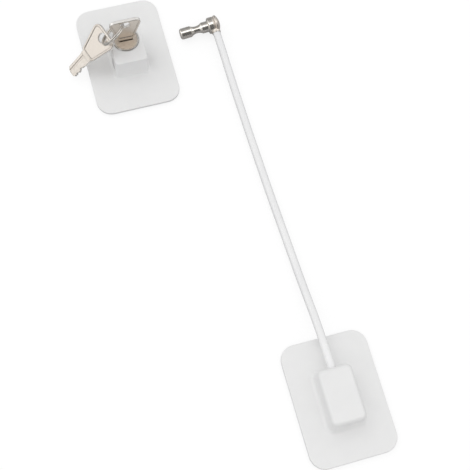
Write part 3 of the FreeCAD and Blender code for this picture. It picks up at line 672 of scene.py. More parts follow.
# %% [markdown]
# ## The wire inside the cable
#
# Inside the coating runs a rope of six strands laid round a seventh. Nobody sees it from
# outside, but a cut through the model shows it, and it is what gives the cable its strength.
# Each strand follows the line that we read back from the spline, at a steady distance from it.

# %% The rope's strands
STRAND_R = 0.48
LAY_LENGTH = 14.0
STRANDS = 6
STATION = 1.3
CORE_IN_FERRULE = 9.5


def evenly(points, gap):
    """Points along a line at an even distance, with the direction of the line at each."""
    found = []
    left = 0.0
    for a, b in zip(points, points[1:]):
        span = (b - a).length
        along = left
        while along < span:
            found.append((a.lerp(b, along / span), (b - a).normalized()))
            along += gap
        left = along - span
    found.append((points[-1], (points[-1] - points[-2]).normalized()))
    return found


def strand(places, out, start):
    """One strand as a mesh, wound at a distance round the line."""
    side = Vector((1, 0, 0))
    points = []
    for i, (place, ahead) in enumerate(places):
        side = (side - ahead * side.dot(ahead)).normalized()
        turn = start + math.tau * i * STATION / LAY_LENGTH
        points.append(place + (side * math.cos(turn) + ahead.cross(side) * math.sin(turn)) * out)
    return as_mesh(spline_curve("strand", points, STRAND_R, roundness=1, kind="POLY"))


def wire_rope():
    """Seven strands from inside the sleeve to inside the cap."""
    first = cable_line[0] - (cable_line[1] - cable_line[0]).normalized() * CORE_IN_FERRULE
    last = cable_line[-1] + (cable_line[-1] - cable_line[-2]).normalized() * CORE_IN_CAP
    places = evenly([first] + cable_line + [last], STATION)
    strands = [strand(places, 0, 0)]
    for i in range(STRANDS):
        strands.append(strand(places, 2 * STRAND_R, math.tau * i / STRANDS))
    return finish_mesh(joined(strands), "wire_strands", smooth_angle=60)


rope = stand_for(wire_rope(), "root", "wire_core")

# %% [markdown]
# ## The split ring
#
# A split ring is one wire that goes round twice. It lies flat on itself and steps from the
# lower to the upper turn in one short stretch, where both of its ends are. A torus would look
# like a closed ring, so the wire follows a formula: two turns at a constant radius, with a
# smooth step half way.

# %% The ring
RING_R = 8.75
RING_WIRE_R = 0.53
RING_STEP = 26.0
RING_END = 20.0
RING_CENTRE = (-8.1, 1.2, 33.0)
RING_NORMAL = Vector((-0.585, 0.557, 0.59)).normalized()
RING_TURNED = 12.0
RING_POINTS = 150


def smooth_step(value):
    """Ease from 0 to 1 as the value goes from 0 to 1."""
    value = min(max(value, 0), 1)
    return value * value * (3 - 2 * value)


def split_ring():
    """Two turns of wire, stepped once, turned and moved to where the ring hangs."""
    points = []
    for i in range(RING_POINTS + 1):
        angle = RING_END + (720 - 2 * RING_END) * i / RING_POINTS
        level = smooth_step((angle - 360) / RING_STEP + 0.5) * 2 - 1
        turn = math.radians(angle + RING_TURNED)
        points.append(Vector((RING_R * math.cos(turn), RING_R * math.sin(turn), level * RING_WIRE_R)))
    ring = as_mesh(spline_curve("ring_wire", points, RING_WIRE_R, resolution=2, roundness=4))
    hang = Vector((0, 0, 1)).rotation_difference(RING_NORMAL).to_matrix().to_4x4()
    move_to(ring, shift(*RING_CENTRE) @ hang)
    return finish_mesh(ring, "split_ring", edge_radius=0.1, edge_angle=60, smooth_angle=50)


ring_piece = stand_for(split_ring(), "ring", "key_ring")

# %% [markdown]
# ## The keys
#
# Both keys are struck from nickel silver sheet. The bow is a tapered plate with a raised rim,
# pressed in on both faces, and a round hole. A collar stops the key at the plug's face. The
# blade has a milled groove on each face and five cuts that match the wafers. We model one key
# with its shoulder at the origin, from a box for the bow and a box for the blade, and copy it.

# %% Sizes of a key
BOW_H = 20.4
BOW_TOP_W = 21.8
BOW_FOOT_W = 10.6
BOW_T = 2.0
BOW_WEB = 1.4
BOW_RIM = 1.2
BOW_RIM_SLOPE = 0.3
BOW_EDGE_R = 0.32
BOW_TOP_R = 5.0
BOW_FOOT_R = 1.2
HOLE_R = 3.2
HOLE_DOWN = 4.4
BLADE_W = 8.0
BLADE_T = 1.8
BLADE_L = 16.5
BLADE_IN_BOW = 0.5
KEY_COLLAR_W = 8.6
KEY_COLLAR_H = 1.7
KEY_COLLAR_T = 2.1
KEY_COLLAR_RISE = 0.6
GROOVE_W = 1.3
GROOVE_DEPTH = 0.45
GROOVE_X = -1.7
CUT_DEPTHS = (0.7, 1.3, 0.4, 1.0, 0.7)
CUT_FLAT = 0.9
TIP_CHAMFER = 1.9
TIP_CHAMFER_RIGHT = 1.52

key_low = corners_of("key")[0]
shoulder_z = key_low.z + BLADE_L
wafer_levels = [sum(c.z for c in corners_of("wafer_%d" % (i + 1))) / 2 for i in range(5)]
print("shoulder at %.2f mm, wafers at" % shoulder_z, [round(z, 2) for z in wafer_levels])


# %% The bow
def key_bow():
    """Tapered plate with round corners, a rim on both faces and the hole for the ring."""
    bow = centred_box(BOW_TOP_W, BOW_T, 0, BOW_H)
    taper(bow, lambda v: v.z < NEAR, (BOW_FOOT_W / BOW_TOP_W, 1, 1))
    across = BOW_T / 2

    def corner(a, b):
        """True for an edge that runs through the plate's thickness."""
        return abs(a.y - b.y) > across

    def outline(a, b):
        """True for an edge between a face of the plate and its narrow side."""
        return min(abs(a.y), abs(b.y)) > across - NEAR and abs(a.y - b.y) < NEAR

    round_edges(bow, lambda a, b: corner(a, b) and a.z > BOW_H / 2, BOW_TOP_R, segments=10)
    round_edges(bow, lambda a, b: corner(a, b) and a.z < NEAR, BOW_FOOT_R, segments=5)
    round_edges(bow, outline, BOW_EDGE_R, segments=3)
    for side in (-1, 1):
        pick(bow, "FACE", lambda v: abs(v.y - side * across) < NEAR)
        bpy.ops.mesh.inset(thickness=(BOW_RIM - BOW_EDGE_R) * MM, depth=0)
        bpy.ops.mesh.inset(thickness=BOW_RIM_SLOPE * MM, depth=-(BOW_T - BOW_WEB) / 2 * MM)
        done()
    hole_z = BOW_H - HOLE_DOWN
    hole = add_rod(HOLE_R, (0, -BOW_T, hole_z), (0, BOW_T, hole_z), SMALL_SIDES)
    combine(bow, "DIFFERENCE", hole)
    return bow


# %% The blade with its cuts
def wedge_tool(tip_x, level, flat):
    """Tool for one cut: a box whose inner side is narrower, with flanks at 45 degrees."""
    outer_x = BLADE_W / 2 + PAST
    tool = add_box((tip_x, -BLADE_T, level - flat / 2), (outer_x, BLADE_T, level + flat / 2))
    spread = (flat + 2 * (outer_x - tip_x)) / flat
    taper(tool, lambda v: v.x > outer_x - NEAR, (1, 1, spread), (0, 0, level * MM))
    return tool


def tip_tool(side, size):
    """Tool that bevels one corner of the blade's tip: a bar turned by 45 degrees."""
    reach = 2 * size
    tool = centred_box(2 * reach, 2 * BLADE_T, 0, reach)
    turn = Matrix.Rotation(side * math.radians(135), 4, "Y")
    move_to(tool, shift(side * (BLADE_W / 2 - size / 2), 0, -BLADE_L + size / 2) @ turn)
    return tool


def key_blade():
    """Blade with a groove on each face, five cuts and a bevelled tip."""
    blade = centred_box(BLADE_W, BLADE_T, -BLADE_L, BLADE_IN_BOW)
    tools = []
    for side in (-1, 1):
        inner, outer = sorted((side * (BLADE_T / 2 - GROOVE_DEPTH), side * BLADE_T))
        tools.append(add_box((GROOVE_X - GROOVE_W / 2, inner, -BLADE_L - PAST),
                             (GROOVE_X + GROOVE_W / 2, outer, -KEY_COLLAR_H / 2)))
    for level, depth in zip(wafer_levels, CUT_DEPTHS):
        tools.append(wedge_tool(BLADE_W / 2 - depth, level - shoulder_z, CUT_FLAT))
    combine(blade, "DIFFERENCE", *tools, tip_tool(-1, TIP_CHAMFER), tip_tool(1, TIP_CHAMFER_RIGHT))
    return blade


# %% A whole key, and its copy
def whole_key():
    """Bow, collar and blade in one piece, with every edge slightly rounded."""
    key = key_bow()
    collar = centred_box(KEY_COLLAR_W, KEY_COLLAR_T, -KEY_COLLAR_H, KEY_COLLAR_RISE)
    combine(key, "UNION", collar, key_blade())
    return finish_mesh(key, "key_in_plug", edge_radius=0.14, edge_angle=28, smooth_angle=35)


SPARE_TURN = math.radians(199.5)
SPARE_TILT = math.radians(40.8)
SPARE_HOLE = Vector((-14.29, 3.59, 25.56))


def hung_place():
    """Matrix that hangs the spare key on the ring: its tip direction, across, and its face."""
    flat = Vector((math.cos(SPARE_TURN), math.sin(SPARE_TURN), 0))
    tip = flat * math.cos(SPARE_TILT) - Vector((0, 0, math.sin(SPARE_TILT)))
    across = Vector((-math.sin(SPARE_TURN), math.cos(SPARE_TURN), 0))
    face = tip.cross(across)
    turn = Matrix((across, -face, -tip)).transposed().to_4x4()
    return shift(*(SPARE_HOLE - turn @ Vector((0, 0, BOW_H - HOLE_DOWN)))) @ turn


key_place = shift(0, plug_middle.y, shoulder_z)
spare_place = hung_place()
key_piece = whole_key()
spare_piece = copy_of(key_piece)
spare_piece.name = "spare_key_on_ring"
spare_piece.data.name = spare_piece.name
move_to(spare_piece, spare_place)
move_to(key_piece, key_place)
stand_for(key_piece, "key_in_lock", "key")
stand_for(spare_piece, "spare", "spare_key")

# %% [markdown]
# ## The wafer springs
#
# Behind each wafer's ear sits a coil spring of thin wire. A coil is a line that follows a
# formula, so we write it as one, give it a round section and copy it for the other wafers.

# %% Five coil springs
SPRING_WIRE_R = 0.1
SPRING_COILS = 7
springs_low, springs_high = corners_of("wafer_springs")


def coil_spring(level):
    """One spring along X in the room that the frame gives it."""
    radius = (springs_high.y - springs_low.y) / 2 - SPRING_WIRE_R
    middle_y = (springs_high.y + springs_low.y) / 2
    length = springs_high.x - springs_low.x - 2 * SPRING_WIRE_R
    steps = SPRING_COILS * 12
    points = []
    for i in range(steps + 1):
        turn = math.tau * SPRING_COILS * i / steps
        points.append(Vector((springs_low.x + SPRING_WIRE_R + length * i / steps,
                              middle_y + radius * math.cos(turn), level + radius * math.sin(turn))))
    return as_mesh(spline_curve("spring", points, SPRING_WIRE_R, resolution=1, roundness=1))


springs = joined([coil_spring(level) for level in wafer_levels])
spring_set = finish_mesh(springs, "coil_springs", smooth_angle=60)
stand_for(spring_set, "plug", "wafer_springs")

# %% [markdown]
# ## Pieces that keep their frame shape
#
# The plug, its housing and the sleeve have the right shape in the frame, but as loose
# triangles without smooth shading. A copy whose triangles are merged back into flat faces can
# be shaded smooth by angle and gets a fine rounded edge. The frame's own mesh isn't touched.


# %% Clean copies of turned and cast parts
def clean_copy(node, name, edge_radius, body):
    """Merged and smooth copy of a frame node's mesh, which stands for that node."""
    copy = copy_of(nodes[node])
    copy.parent = None
    for key in list(copy.keys()):
        del copy[key]
    activate(copy)
    bpy.ops.mesh.customdata_custom_splitnormals_clear()
    edit_all(copy)
    bpy.ops.mesh.remove_doubles(threshold=2 * SAME_PLACE)
    bpy.ops.mesh.dissolve_limited(angle_limit=math.radians(1))
    done()
    finish_mesh(copy, name, edge_radius=edge_radius, edge_angle=35, smooth_angle=35)
    return stand_for(copy, body, node)


plug_piece = clean_copy("lock_plug", "plug_face_and_body", 0.08, "plug")
casting_piece = clean_copy("lock_casting", "plated_casting", 0.06, "root")
sleeve_piece = clean_copy("anchor_ferrule", "crimped_sleeve", 0, "root")

# %% [markdown]
# ## Surface effects as node groups
#
# A surface is more than a colour. Moulded plastic has a fine grain, plated steel has faint
# grinding lines, and whatever is handled gets marks on its faces and rubbed edges. The same
# edge mask also paints shade: dark outlines along the keys' and the pin head's edges. Each of
# these effects is a node group here: built once, with named inputs, and used by every material
# that needs it with its own values. They read a place on the piece, so nothing slides when the
# piece moves or when the camera goes round.


# %% Short ways to add nodes
def set_inputs(tree, node, inputs):
    """Fill a node's inputs with values, or link them to sockets."""
    for key, value in inputs.items():
        if isinstance(value, bpy.types.NodeSocket):
            tree.links.new(value, node.inputs[key])
        else:
            node.inputs[key].default_value = value


def add_node(tree, kind, inputs=None, **settings):
    """Add a shader node with its properties and inputs, and return its outputs."""
    node = tree.nodes.new("ShaderNode" + kind)
    for key, value in settings.items():
        setattr(node, key, value)
    set_inputs(tree, node, inputs or {})
    return node.outputs


def calculate(tree, operation, *values, clamp=False):
    """One step of arithmetic on values or sockets."""
    return add_node(tree, "Math", dict(enumerate(values)), operation=operation, use_clamp=clamp)[0]


def map_range(tree, value, low, high, new_low=0.0, new_high=1.0):
    """Rescale a value from one range to another, held inside the new range."""
    return add_node(tree, "MapRange", {"Value": value, "From Min": low, "From Max": high,
                                       "To Min": new_low, "To Max": new_high})[0]


def dot(tree, first, second):
    """How far two directions agree."""
    return add_node(tree, "VectorMath", {0: first, 1: second}, operation="DOT_PRODUCT")["Value"]


def axes(tree, place):
    """The three parts of a place or direction."""
    return add_node(tree, "SeparateXYZ", {"Vector": place})[:]


def noise(tree, place, scale, detail, **more):
    """Value of a noise pattern at a place."""
    inputs = {"Vector": place, "Scale": scale, "Detail": detail, **more}
    return add_node(tree, "TexNoise", inputs)["Fac"]


def new_group(name, inputs, outputs, vectors=("Place",)):
    """Node group that reads vectors and numbers with a start value, and gives numbers."""
    group = bpy.data.node_groups.new(name, "ShaderNodeTree")
    for title in vectors:
        group.interface.new_socket(name=title, in_out="INPUT", socket_type="NodeSocketVector")
    for title, start in inputs.items():
        socket = group.interface.new_socket(name=title, in_out="INPUT", socket_type="NodeSocketFloat")
        socket.default_value = start
    for title in outputs:
        group.interface.new_socket(name=title, in_out="OUTPUT", socket_type="NodeSocketFloat")
    given = group.nodes.new("NodeGroupInput")
    result = group.nodes.new("NodeGroupOutput")
    return group, given.outputs, result.inputs


# %% Grain of a moulded surface
SLOW_GRAIN = 22.0


def grain_group():
    """Fine spark-eroded grain over slow unevenness, as height and as a slight shade."""
    group, given, result = new_group("moulded grain", {"Grain Size": 0.0004}, ("Height", "Shade"))
    scale = calculate(group, "DIVIDE", 1.0, given["Grain Size"])
    fine = noise(group, given["Place"], scale, detail=3.0)
    slow = noise(group, given["Place"], calculate(group, "DIVIDE", scale, SLOW_GRAIN), detail=2.0)
    group.links.new(calculate(group, "MULTIPLY_ADD", slow, 2.0, fine), result["Height"])
    group.links.new(map_range(group, slow, 0.35, 0.65), result["Shade"])
    return group


# %% Fine lines left by grinding or turning
def lines_group():
    """Lines across the first axis of the given place, or rings round the Z axis."""
    group, given, result = new_group("fine lines", {"Spacing": 0.0003, "Rings": 0.0, "Stretch": 0.02},
                                     ("Height",))
    x, y, z = axes(group, given["Place"])
    flat = add_node(group, "CombineXYZ", {"X": x, "Y": y})
    radius = add_node(group, "VectorMath", {0: flat[0]}, operation="LENGTH")["Value"]
    across = add_node(group, "Mix", {"Factor": given["Rings"], "A": x, "B": radius})
    along = calculate(group, "MULTIPLY", z, given["Stretch"])
    side = calculate(group, "MULTIPLY", y, given["Stretch"])
    stretched = add_node(group, "CombineXYZ", {"X": across[0], "Y": side, "Z": along})
    scale = calculate(group, "DIVIDE", 1.0, given["Spacing"])
    group.links.new(noise(group, stretched[0], scale, detail=4.0, Roughness=0.7), result["Height"])
    return group


# %% Marks of handling
SPECKLE_FINER = 9.0


def marks_group():
    """Cloudy marks, from dull patches to thin smears, between 0 and 1."""
    group, given, result = new_group("handling marks", {"Size": 0.004}, ("Marks", "Speckle"))
    scale = calculate(group, "DIVIDE", 1.0, given["Size"])
    cloud = noise(group, given["Place"], scale, detail=5.0, Roughness=0.62, Distortion=0.6)
    finer = calculate(group, "MULTIPLY", scale, SPECKLE_FINER)
    speck = noise(group, given["Place"], finer, detail=4.0, Roughness=0.7)
    group.links.new(map_range(group, cloud, 0.38, 0.66), result["Marks"])
    group.links.new(map_range(group, speck, 0.4, 0.65), result["Speckle"])
    return group


# %% Edge wear, and painted shade along some edges
EDGE_MARK_PATCHES = 900.0


def edge_wear_and_shade_group():
    """Mask of the edges, where handling shows first and where painted shade darkens some metals, from a
    rounded normal against the real one.
    """
    group, given, result = new_group("edge wear and painted shade", {"Radius": 0.0003, "Strength": 4.0}, ("Edge Mark",))
    # The same mask carries real wear on most metals and painted shade on the keys and the pin's head.
    rounded = add_node(group, "Bevel", {"Radius": given["Radius"]}, samples=4)
    real = add_node(group, "NewGeometry")
    same = dot(group, rounded[0], real["Normal"])
    edge = calculate(group, "SUBTRACT", 1.0, same)
    strong = calculate(group, "MULTIPLY", edge, given["Strength"], clamp=True)
    patches = noise(group, given["Place"], EDGE_MARK_PATCHES, detail=3.0)
    uneven = map_range(group, patches, 0.3, 0.6, 0.35, 1.0)
    group.links.new(calculate(group, "MULTIPLY", strong, uneven, clamp=True), result["Edge Mark"])
    return group


# %% Faces of a struck key
def sheet_group():
    """Masks of a key's pressed field and of the narrow side that was cut out of the sheet."""
    group, given, result = new_group("struck sheet", {"Field Depth": 0.0008}, ("Field", "Side"),
                                     ("Place", "Face Way"))
    normal = add_node(group, "TexCoord")["Normal"]
    flat = calculate(group, "ABSOLUTE", dot(group, normal, given["Face Way"]))
    depth = calculate(group, "ABSOLUTE", axes(group, given["Place"])[1])
    low = calculate(group, "LESS_THAN", depth, given["Field Depth"])
    field = calculate(group, "MULTIPLY", low, map_range(group, flat, 0.7, 0.9))
    group.links.new(field, result["Field"])
    group.links.new(map_range(group, flat, 0.25, 0.55, 1.0, 0.0), result["Side"])
    return group


GRAIN = grain_group()
LINES = lines_group()
MARKS = marks_group()
EDGE_WEAR_AND_SHADE = edge_wear_and_shade_group()
SHEET = sheet_group()
print("groups:", [g.name for g in bpy.data.node_groups])

# %% [markdown]
# ## Materials
#
# Plastic and metal differ in one setting, Metallic, but the eye tells them apart by how the
# light breaks up on them. The plastic is white, satin and softly grained. The plug and the
# keys are nickel on brass, so they look warm, and they are dull enough to show their colour
# and not the room. The pin and the ring are polished, and the pin's head is duller. Each
# function below makes a family of finishes, and the values that suit one piece go in as its
# arguments.


# %% A material with its place, shader and bump
def start_material(name, base, roughness, metallic, turn=None):
    """Material, its Principled shader and the place vector that all its patterns read."""
    material = bpy.data.materials.new(name)
    material.use_nodes = True
    material.diffuse_color = (*base, 1)
    tree = material.node_tree
    shader = tree.nodes["Principled BSDF"]
    set_inputs(tree, shader, {"Metallic": metallic, "Roughness": roughness})
    place = add_node(tree, "TexCoord")["Object"]
    if turn is not None:
        place = add_node(tree, "Mapping", {"Vector": place, "Location": turn.translation,
                                           "Rotation": turn.to_euler()})[0]
    return material, tree, shader, place


def use_group(tree, group, **inputs):
    """Place a group in a material with its own values and return its outputs."""
    named = {key.replace("_", " "): value for key, value in inputs.items()}
    return add_node(tree, "Group", named, node_tree=group)


def bump_from(tree, shader, height, depth):
    """Bump of a real depth in metres on the shader's normal."""
    bump = add_node(tree, "Bump", {"Height": height, "Distance": depth, "Strength": 1.0})
    set_inputs(tree, shader, {"Normal": bump[0]})


def blend(tree, amount, first, second):
    """Mix of two colours by a mask."""
    a, b = [c if isinstance(c, bpy.types.NodeSocket) else (*c, 1) for c in (first, second)]
    return add_node(tree, "Mix", {"Factor": amount, 6: a, 7: b}, data_type="RGBA")[2]


# %% Plastics and foam
MARKS_ON_PLASTIC = 0.011
COAT_ROUGHNESS = 0.12
SMOOTHER = 0.05
ROUGHER = 0.07
FOAM_CELLS = 3600.0
FOAM_PIT_DEPTH = 8e-5


def plastic(name, base, shade, roughness, grain, depth, coat=0.0):
    """Moulded or extruded plastic with grain, uneven gloss and a slight unevenness of colour."""
    material, tree, shader, place = start_material(name, base, roughness, 0.0)
    fine = use_group(tree, GRAIN, Place=place, Grain_Size=grain)
    marks = use_group(tree, MARKS, Place=place, Size=MARKS_ON_PLASTIC)
    colour = blend(tree, fine["Shade"], base, shade)
    gloss = map_range(tree, marks["Marks"], 0, 1, roughness - SMOOTHER, roughness + ROUGHER)
    set_inputs(tree, shader, {"Base Color": colour, "Roughness": gloss, "Coat Weight": coat,
                              "Coat Roughness": COAT_ROUGHNESS})
    bump_from(tree, shader, fine["Height"], depth)
    return material


WHITE_PLASTIC = plastic("white satin plastic", (0.88, 0.88, 0.877), (0.868, 0.868, 0.866),
                        roughness=0.40, grain=0.0004, depth=4e-6)
COATING = plastic("white cable coating", (0.93, 0.93, 0.93), (0.905, 0.905, 0.91),
                  roughness=0.26, grain=0.0009, depth=6e-6, coat=0.3)


def foam():
    """Closed-cell foam: small round pits, each painted darker at its middle as shade, which greys the cut
    edge.
    """
    material, tree, shader, place = start_material("white foam tape", (0.8, 0.8, 0.79), 0.9, 0.0)
    cells = add_node(tree, "TexVoronoi", {"Vector": place, "Scale": FOAM_CELLS})
    depth = map_range(tree, cells["Distance"], 0.0, 0.7)
    # Painted shade: the middle of each pit is coloured darker, as the shade inside it.
    colour = blend(tree, depth, (0.60, 0.60, 0.59), (0.84, 0.84, 0.83))
    set_inputs(tree, shader, {"Base Color": colour})
    bump_from(tree, shader, depth, FOAM_PIT_DEPTH)
    return material


FOAM = foam()


# %% Metals
KEY_FIELD = (0.70, 0.645, 0.585)
# The keys' narrow sides are coloured lighter: a painted highlight along the bow's rim and the blade's
# edges.
KEY_SIDE_HIGHLIGHT = (0.90, 0.88, 0.85)
KEY_SIDE_GLOSS = 0.48
CAST_GRAIN = 0.0008
EDGE_POLISH = 0.5


def metal(name, base, dark, roughness, spread, marks_size, spacing=0.0003, rings=0.0, line_depth=1e-6,
          edge_mark=0.0, edge_wear_and_shade_colour=(0.9, 0.88, 0.85), edge_mark_radius=0.0003, turn=None, cast=0.0, sheet=None):
    """Metal whose colour and gloss vary with handling, with fine lines, worn edges, and on some metals
    edges painted dark as shade.
    """
    material, tree, shader, place = start_material(name, base, roughness, 1.0, turn)
    marks = use_group(tree, MARKS, Place=place, Size=marks_size)
    lines = use_group(tree, LINES, Place=place, Spacing=spacing, Rings=rings)
    colour = blend(tree, marks["Marks"], base, dark)
    gloss = map_range(tree, marks["Speckle"], 0, 1, roughness - spread, roughness + spread)
    if sheet is not None:
        struck = use_group(tree, SHEET, Place=place, Face_Way=sheet)
        colour = blend(tree, struck["Field"], colour, KEY_FIELD)
        # The narrow sides take the painted highlight colour.
        colour = blend(tree, struck["Side"], colour, KEY_SIDE_HIGHLIGHT)
        side_gloss = calculate(tree, "MULTIPLY", struck["Side"], KEY_SIDE_GLOSS)
        gloss = calculate(tree, "MAXIMUM", gloss, side_gloss)
    if edge_mark:
        edge_wear_and_shade = use_group(tree, EDGE_WEAR_AND_SHADE, Place=place, Radius=edge_mark_radius, Strength=edge_mark)["Edge Mark"]
        # On most metals the edge colour is lighter worn metal. On the keys and the pin's head it is dark:
        # painted shade along their edges.
        colour = blend(tree, edge_wear_and_shade, colour, edge_wear_and_shade_colour)
        gloss = calculate(tree, "MULTIPLY_ADD", edge_wear_and_shade, -EDGE_POLISH * roughness, gloss)
    set_inputs(tree, shader, {"Base Color": colour, "Roughness": gloss})
    height = lines["Height"]
    if cast:
        skin = use_group(tree, GRAIN, Place=place, Grain_Size=CAST_GRAIN)
        height = calculate(tree, "MULTIPLY_ADD", skin["Height"], cast, height)
    bump_from(tree, shader, height, line_depth)
    return material


def key_metal(name, place):
    """Metal of a key, with a pattern that keeps to the key's own axes."""
    # The dark edge colour is painted shade: dark outlines along the key's edges.
    return metal(name, (0.74, 0.69, 0.63), (0.62, 0.57, 0.51), 0.30, 0.07, 0.003, line_depth=2e-6,
                 edge_mark=9.0, edge_wear_and_shade_colour=(0.16, 0.14, 0.12), edge_mark_radius=0.0005, turn=place.inverted(),
                 sheet=place.to_3x3() @ Vector((0, 1, 0)))


plug_axis = shift(-plug_middle.x, -plug_middle.y, 0)
# A metal's colour, that of its marks, its roughness, how far that varies, and the marks' size.
CASTING = metal("nickel plated casting", (0.80, 0.78, 0.75), (0.66, 0.63, 0.59), 0.24, 0.05, 0.004,
                cast=1.5, line_depth=2e-6, edge_mark=3.0)
PLUG_FACE = metal("satin nickel plug", (0.72, 0.64, 0.55), (0.60, 0.52, 0.44), 0.34, 0.06, 0.0022,
                  spacing=0.00022, rings=1.0, line_depth=2.5e-6, edge_mark=4.0, turn=plug_axis)
KEY_METAL = key_metal("warm nickel key", key_place)
SPARE_METAL = key_metal("warm nickel spare key", spare_place)
PIN_METAL = metal("polished nickel pin", (0.82, 0.79, 0.74), (0.70, 0.66, 0.60), 0.19, 0.05, 0.0030,
                  spacing=0.0002, line_depth=1.2e-6, edge_mark=3.0, turn=PIN_PLACE.inverted())
# The head's dark edge colour is painted shade along the edges of the collar and cap.
HEAD_METAL = metal("turned nickel head", (0.86, 0.81, 0.75), (0.70, 0.64, 0.57), 0.48, 0.06, 0.0025,
                   spacing=0.0002, line_depth=2e-6, edge_mark=5.0, edge_wear_and_shade_colour=(0.34, 0.30, 0.27),
                   edge_mark_radius=0.0004, turn=PIN_PLACE.inverted())
RING_METAL = metal("polished nickel ring", (0.80, 0.78, 0.74), (0.66, 0.62, 0.57), 0.16, 0.04, 0.003,
                   line_depth=6e-7)
STRAND_METAL = metal("drawn steel wire", (0.56, 0.56, 0.57), (0.45, 0.45, 0.46), 0.32, 0.05, 0.002)
WAFER_BRASS = metal("stamped brass", (0.80, 0.62, 0.30), (0.66, 0.48, 0.22), 0.30, 0.06, 0.002,
                    line_depth=2e-6, edge_mark=3.0)
ZINC = metal("zinc plated steel", (0.66, 0.68, 0.71), (0.56, 0.57, 0.58), 0.36, 0.08, 0.003,
             cast=1.0, line_depth=3e-6, edge_mark=2.0)
SPRING = metal("spring steel", (0.52, 0.52, 0.53), (0.40, 0.40, 0.42), 0.28, 0.05, 0.002)
ALUMINIUM = metal("crimped aluminium", (0.82, 0.82, 0.83), (0.70, 0.70, 0.71), 0.34, 0.06, 0.003,
                  cast=1.0, line_depth=3e-6)


# %% Give every piece its material
DRESSED = (
    (WHITE_PLASTIC, lock_shell, anchor_shell), (COATING, cable), (FOAM, lock_foam, anchor_foam),
    (CASTING, casting_piece), (PLUG_FACE, plug_piece), (KEY_METAL, key_piece), (SPARE_METAL, spare_piece),
    (PIN_METAL, pin_piece), (HEAD_METAL, cap_piece), (RING_METAL, ring_piece), (STRAND_METAL, rope),
    (SPRING, spring_set), (ALUMINIUM, sleeve_piece),
)
for material, *pieces in DRESSED:
    for piece in pieces:
        piece.data.materials.clear()
        piece.data.materials.append(material)

KEPT_NODES = {
    "lock_back_plate": ZINC, "anchor_back_plate": ZINC, "lock_plate_screws": ZINC,
    "anchor_plate_screws": ZINC, "stop_washer": ZINC, "retaining_clip": SPRING,
}
KEPT_NODES.update({"wafer_%d" % (i + 1): WAFER_BRASS for i in range(len(CUT_DEPTHS))})
for node_name, material in KEPT_NODES.items():
    for slot in nodes[node_name].material_slots:
        slot.material = material
print("dressed", len(KEPT_NODES), "frame nodes")

# %% [markdown]
# ## Light and floor
#
# Product photographs of white things are made in a light tent: soft light from all round, one
# larger soft lamp to give the forms a shade side, and a white ground. White plastic shows the
# sum of all that light. Polished metal shows the tent itself, so it needs something dark to
# reflect or it turns flat and grey. For that reason the surroundings are even for the plastic
# and have soft boxes and dark gaps in what the metal mirrors.

# %% The surroundings
TENT_LIGHT = 0.83
TENT_SLOPE = 0.10
TENT_SIDE = (-0.45, 0.6, 0.66)
MIRROR_DARK = 0.14
MIRROR_BACK = 0.50
MIRROR_HORIZON = 0.16
MIRROR_AGAIN = 0.9
FIRST_MIRROR = 1.5
# Each soft box has a strength and soft edges: an axis, where it begins and where it is full.
MIRROR_BOXES = (
    (1.7, (("Y", -0.26, -0.20), ("Y", 0.24, 0.16), ("Z", 0.52, 0.62))),
    (0.66, (("X", -0.5, -0.65), ("Z", -0.15, 0.0))),
    (0.3, (("X", 0.45, 0.65), ("Z", -0.15, 0.0))),
)


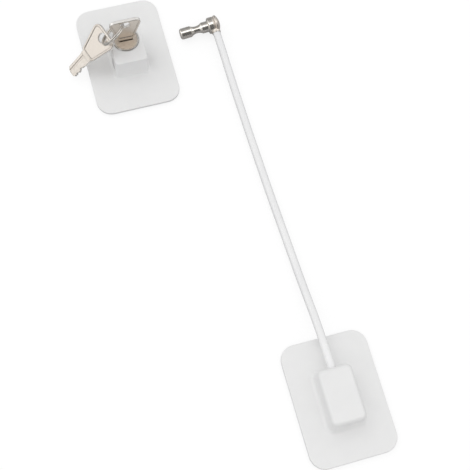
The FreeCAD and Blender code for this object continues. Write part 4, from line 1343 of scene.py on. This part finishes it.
def studio_world():
    """Even light for matt surfaces, soft boxes and gaps for reflections."""
    world = bpy.data.worlds.new("light tent")
    bpy.context.scene.world = world
    world.use_nodes = True
    tree = world.node_tree
    background = tree.nodes["Background"]
    way = add_node(tree, "TexCoord")["Generated"]
    parts = dict(zip("XYZ", axes(tree, way)))
    back_glow = map_range(tree, parts["Y"], 0.3, 1.0, MIRROR_BACK, MIRROR_HORIZON)
    glow = calculate(tree, "MULTIPLY_ADD", map_range(tree, parts["Y"], 0.0, 0.15), back_glow, MIRROR_DARK)
    for strength, edges in MIRROR_BOXES:
        box = strength
        for axis, begins, full in edges:
            box = calculate(tree, "MULTIPLY", box, map_range(tree, parts[axis], begins, full))
        glow = calculate(tree, "ADD", glow, box)
    tent = calculate(tree, "MULTIPLY_ADD", dot(tree, way, TENT_SIDE), TENT_SLOPE, TENT_LIGHT)
    path = add_node(tree, "LightPath")
    again = calculate(tree, "GREATER_THAN", path["Glossy Depth"], FIRST_MIRROR)
    glow = add_node(tree, "Mix", {"Factor": again, "A": glow, "B": MIRROR_AGAIN})[0]
    strength = add_node(tree, "Mix", {"Factor": path["Is Glossy Ray"], "A": tent, "B": glow})
    set_inputs(tree, background, {"Color": (1, 1, 1, 1), "Strength": strength[0]})


studio_world()


# %% The large soft lamp
LAMP_AT = Vector((-0.38, 0.42, 0.75))
LAMP_AIM = Vector((0.03, -0.12, 0))
LAMP_POWER = 0.8
LAMP_SIZE = 0.8


def soft_lamp():
    """Square area lamp that looks at the object's middle, unseen in reflections."""
    data = bpy.data.lights.new("soft_lamp", "AREA")
    data.energy = LAMP_POWER
    data.size = LAMP_SIZE
    lamp = new_object("soft_lamp", data)
    lamp.location = LAMP_AT
    lamp.rotation_euler = (LAMP_AIM - LAMP_AT).to_track_quat("-Z", "Y").to_euler()
    lamp.visible_glossy = False


soft_lamp()


# %% White ground
FLOOR_SIZE = 8
FLOOR_Z = -0.0002
FLOOR_GLOW = 1.12
FLOOR_GLOW_SHARE = 0.72
FLOOR_WHITE = (0.8, 0.8, 0.8, 1)
FLOOR_GREY = (0.45, 0.45, 0.46, 1)


def ground():
    """Floor that reads white to the camera and still takes a faint shadow."""
    bpy.ops.mesh.primitive_plane_add(size=FLOOR_SIZE, location=(0, 0, FLOOR_Z))
    floor = bpy.context.active_object
    floor.name = "studio_ground"
    material = bpy.data.materials.new("white ground")
    material.use_nodes = True
    tree = material.node_tree
    shader = tree.nodes["Principled BSDF"]
    set_inputs(tree, shader, {"Base Color": FLOOR_WHITE, "Roughness": 0.9, "Specular IOR Level": 0.0})
    grey = add_node(tree, "BsdfDiffuse", {"Color": FLOOR_GREY})[0]
    glow = add_node(tree, "Emission", {"Strength": FLOOR_GLOW})[0]
    camera_ray = add_node(tree, "LightPath")["Is Camera Ray"]
    seen = add_node(tree, "MixShader", {0: FLOOR_GLOW_SHARE, 1: shader.outputs[0], 2: glow})[0]
    both = add_node(tree, "MixShader", {0: camera_ray, 1: grey, 2: seen})[0]
    tree.links.new(both, tree.nodes["Material Output"].inputs["Surface"])
    floor.data.materials.append(material)


ground()
bpy.context.scene.view_settings.view_transform = "Standard"
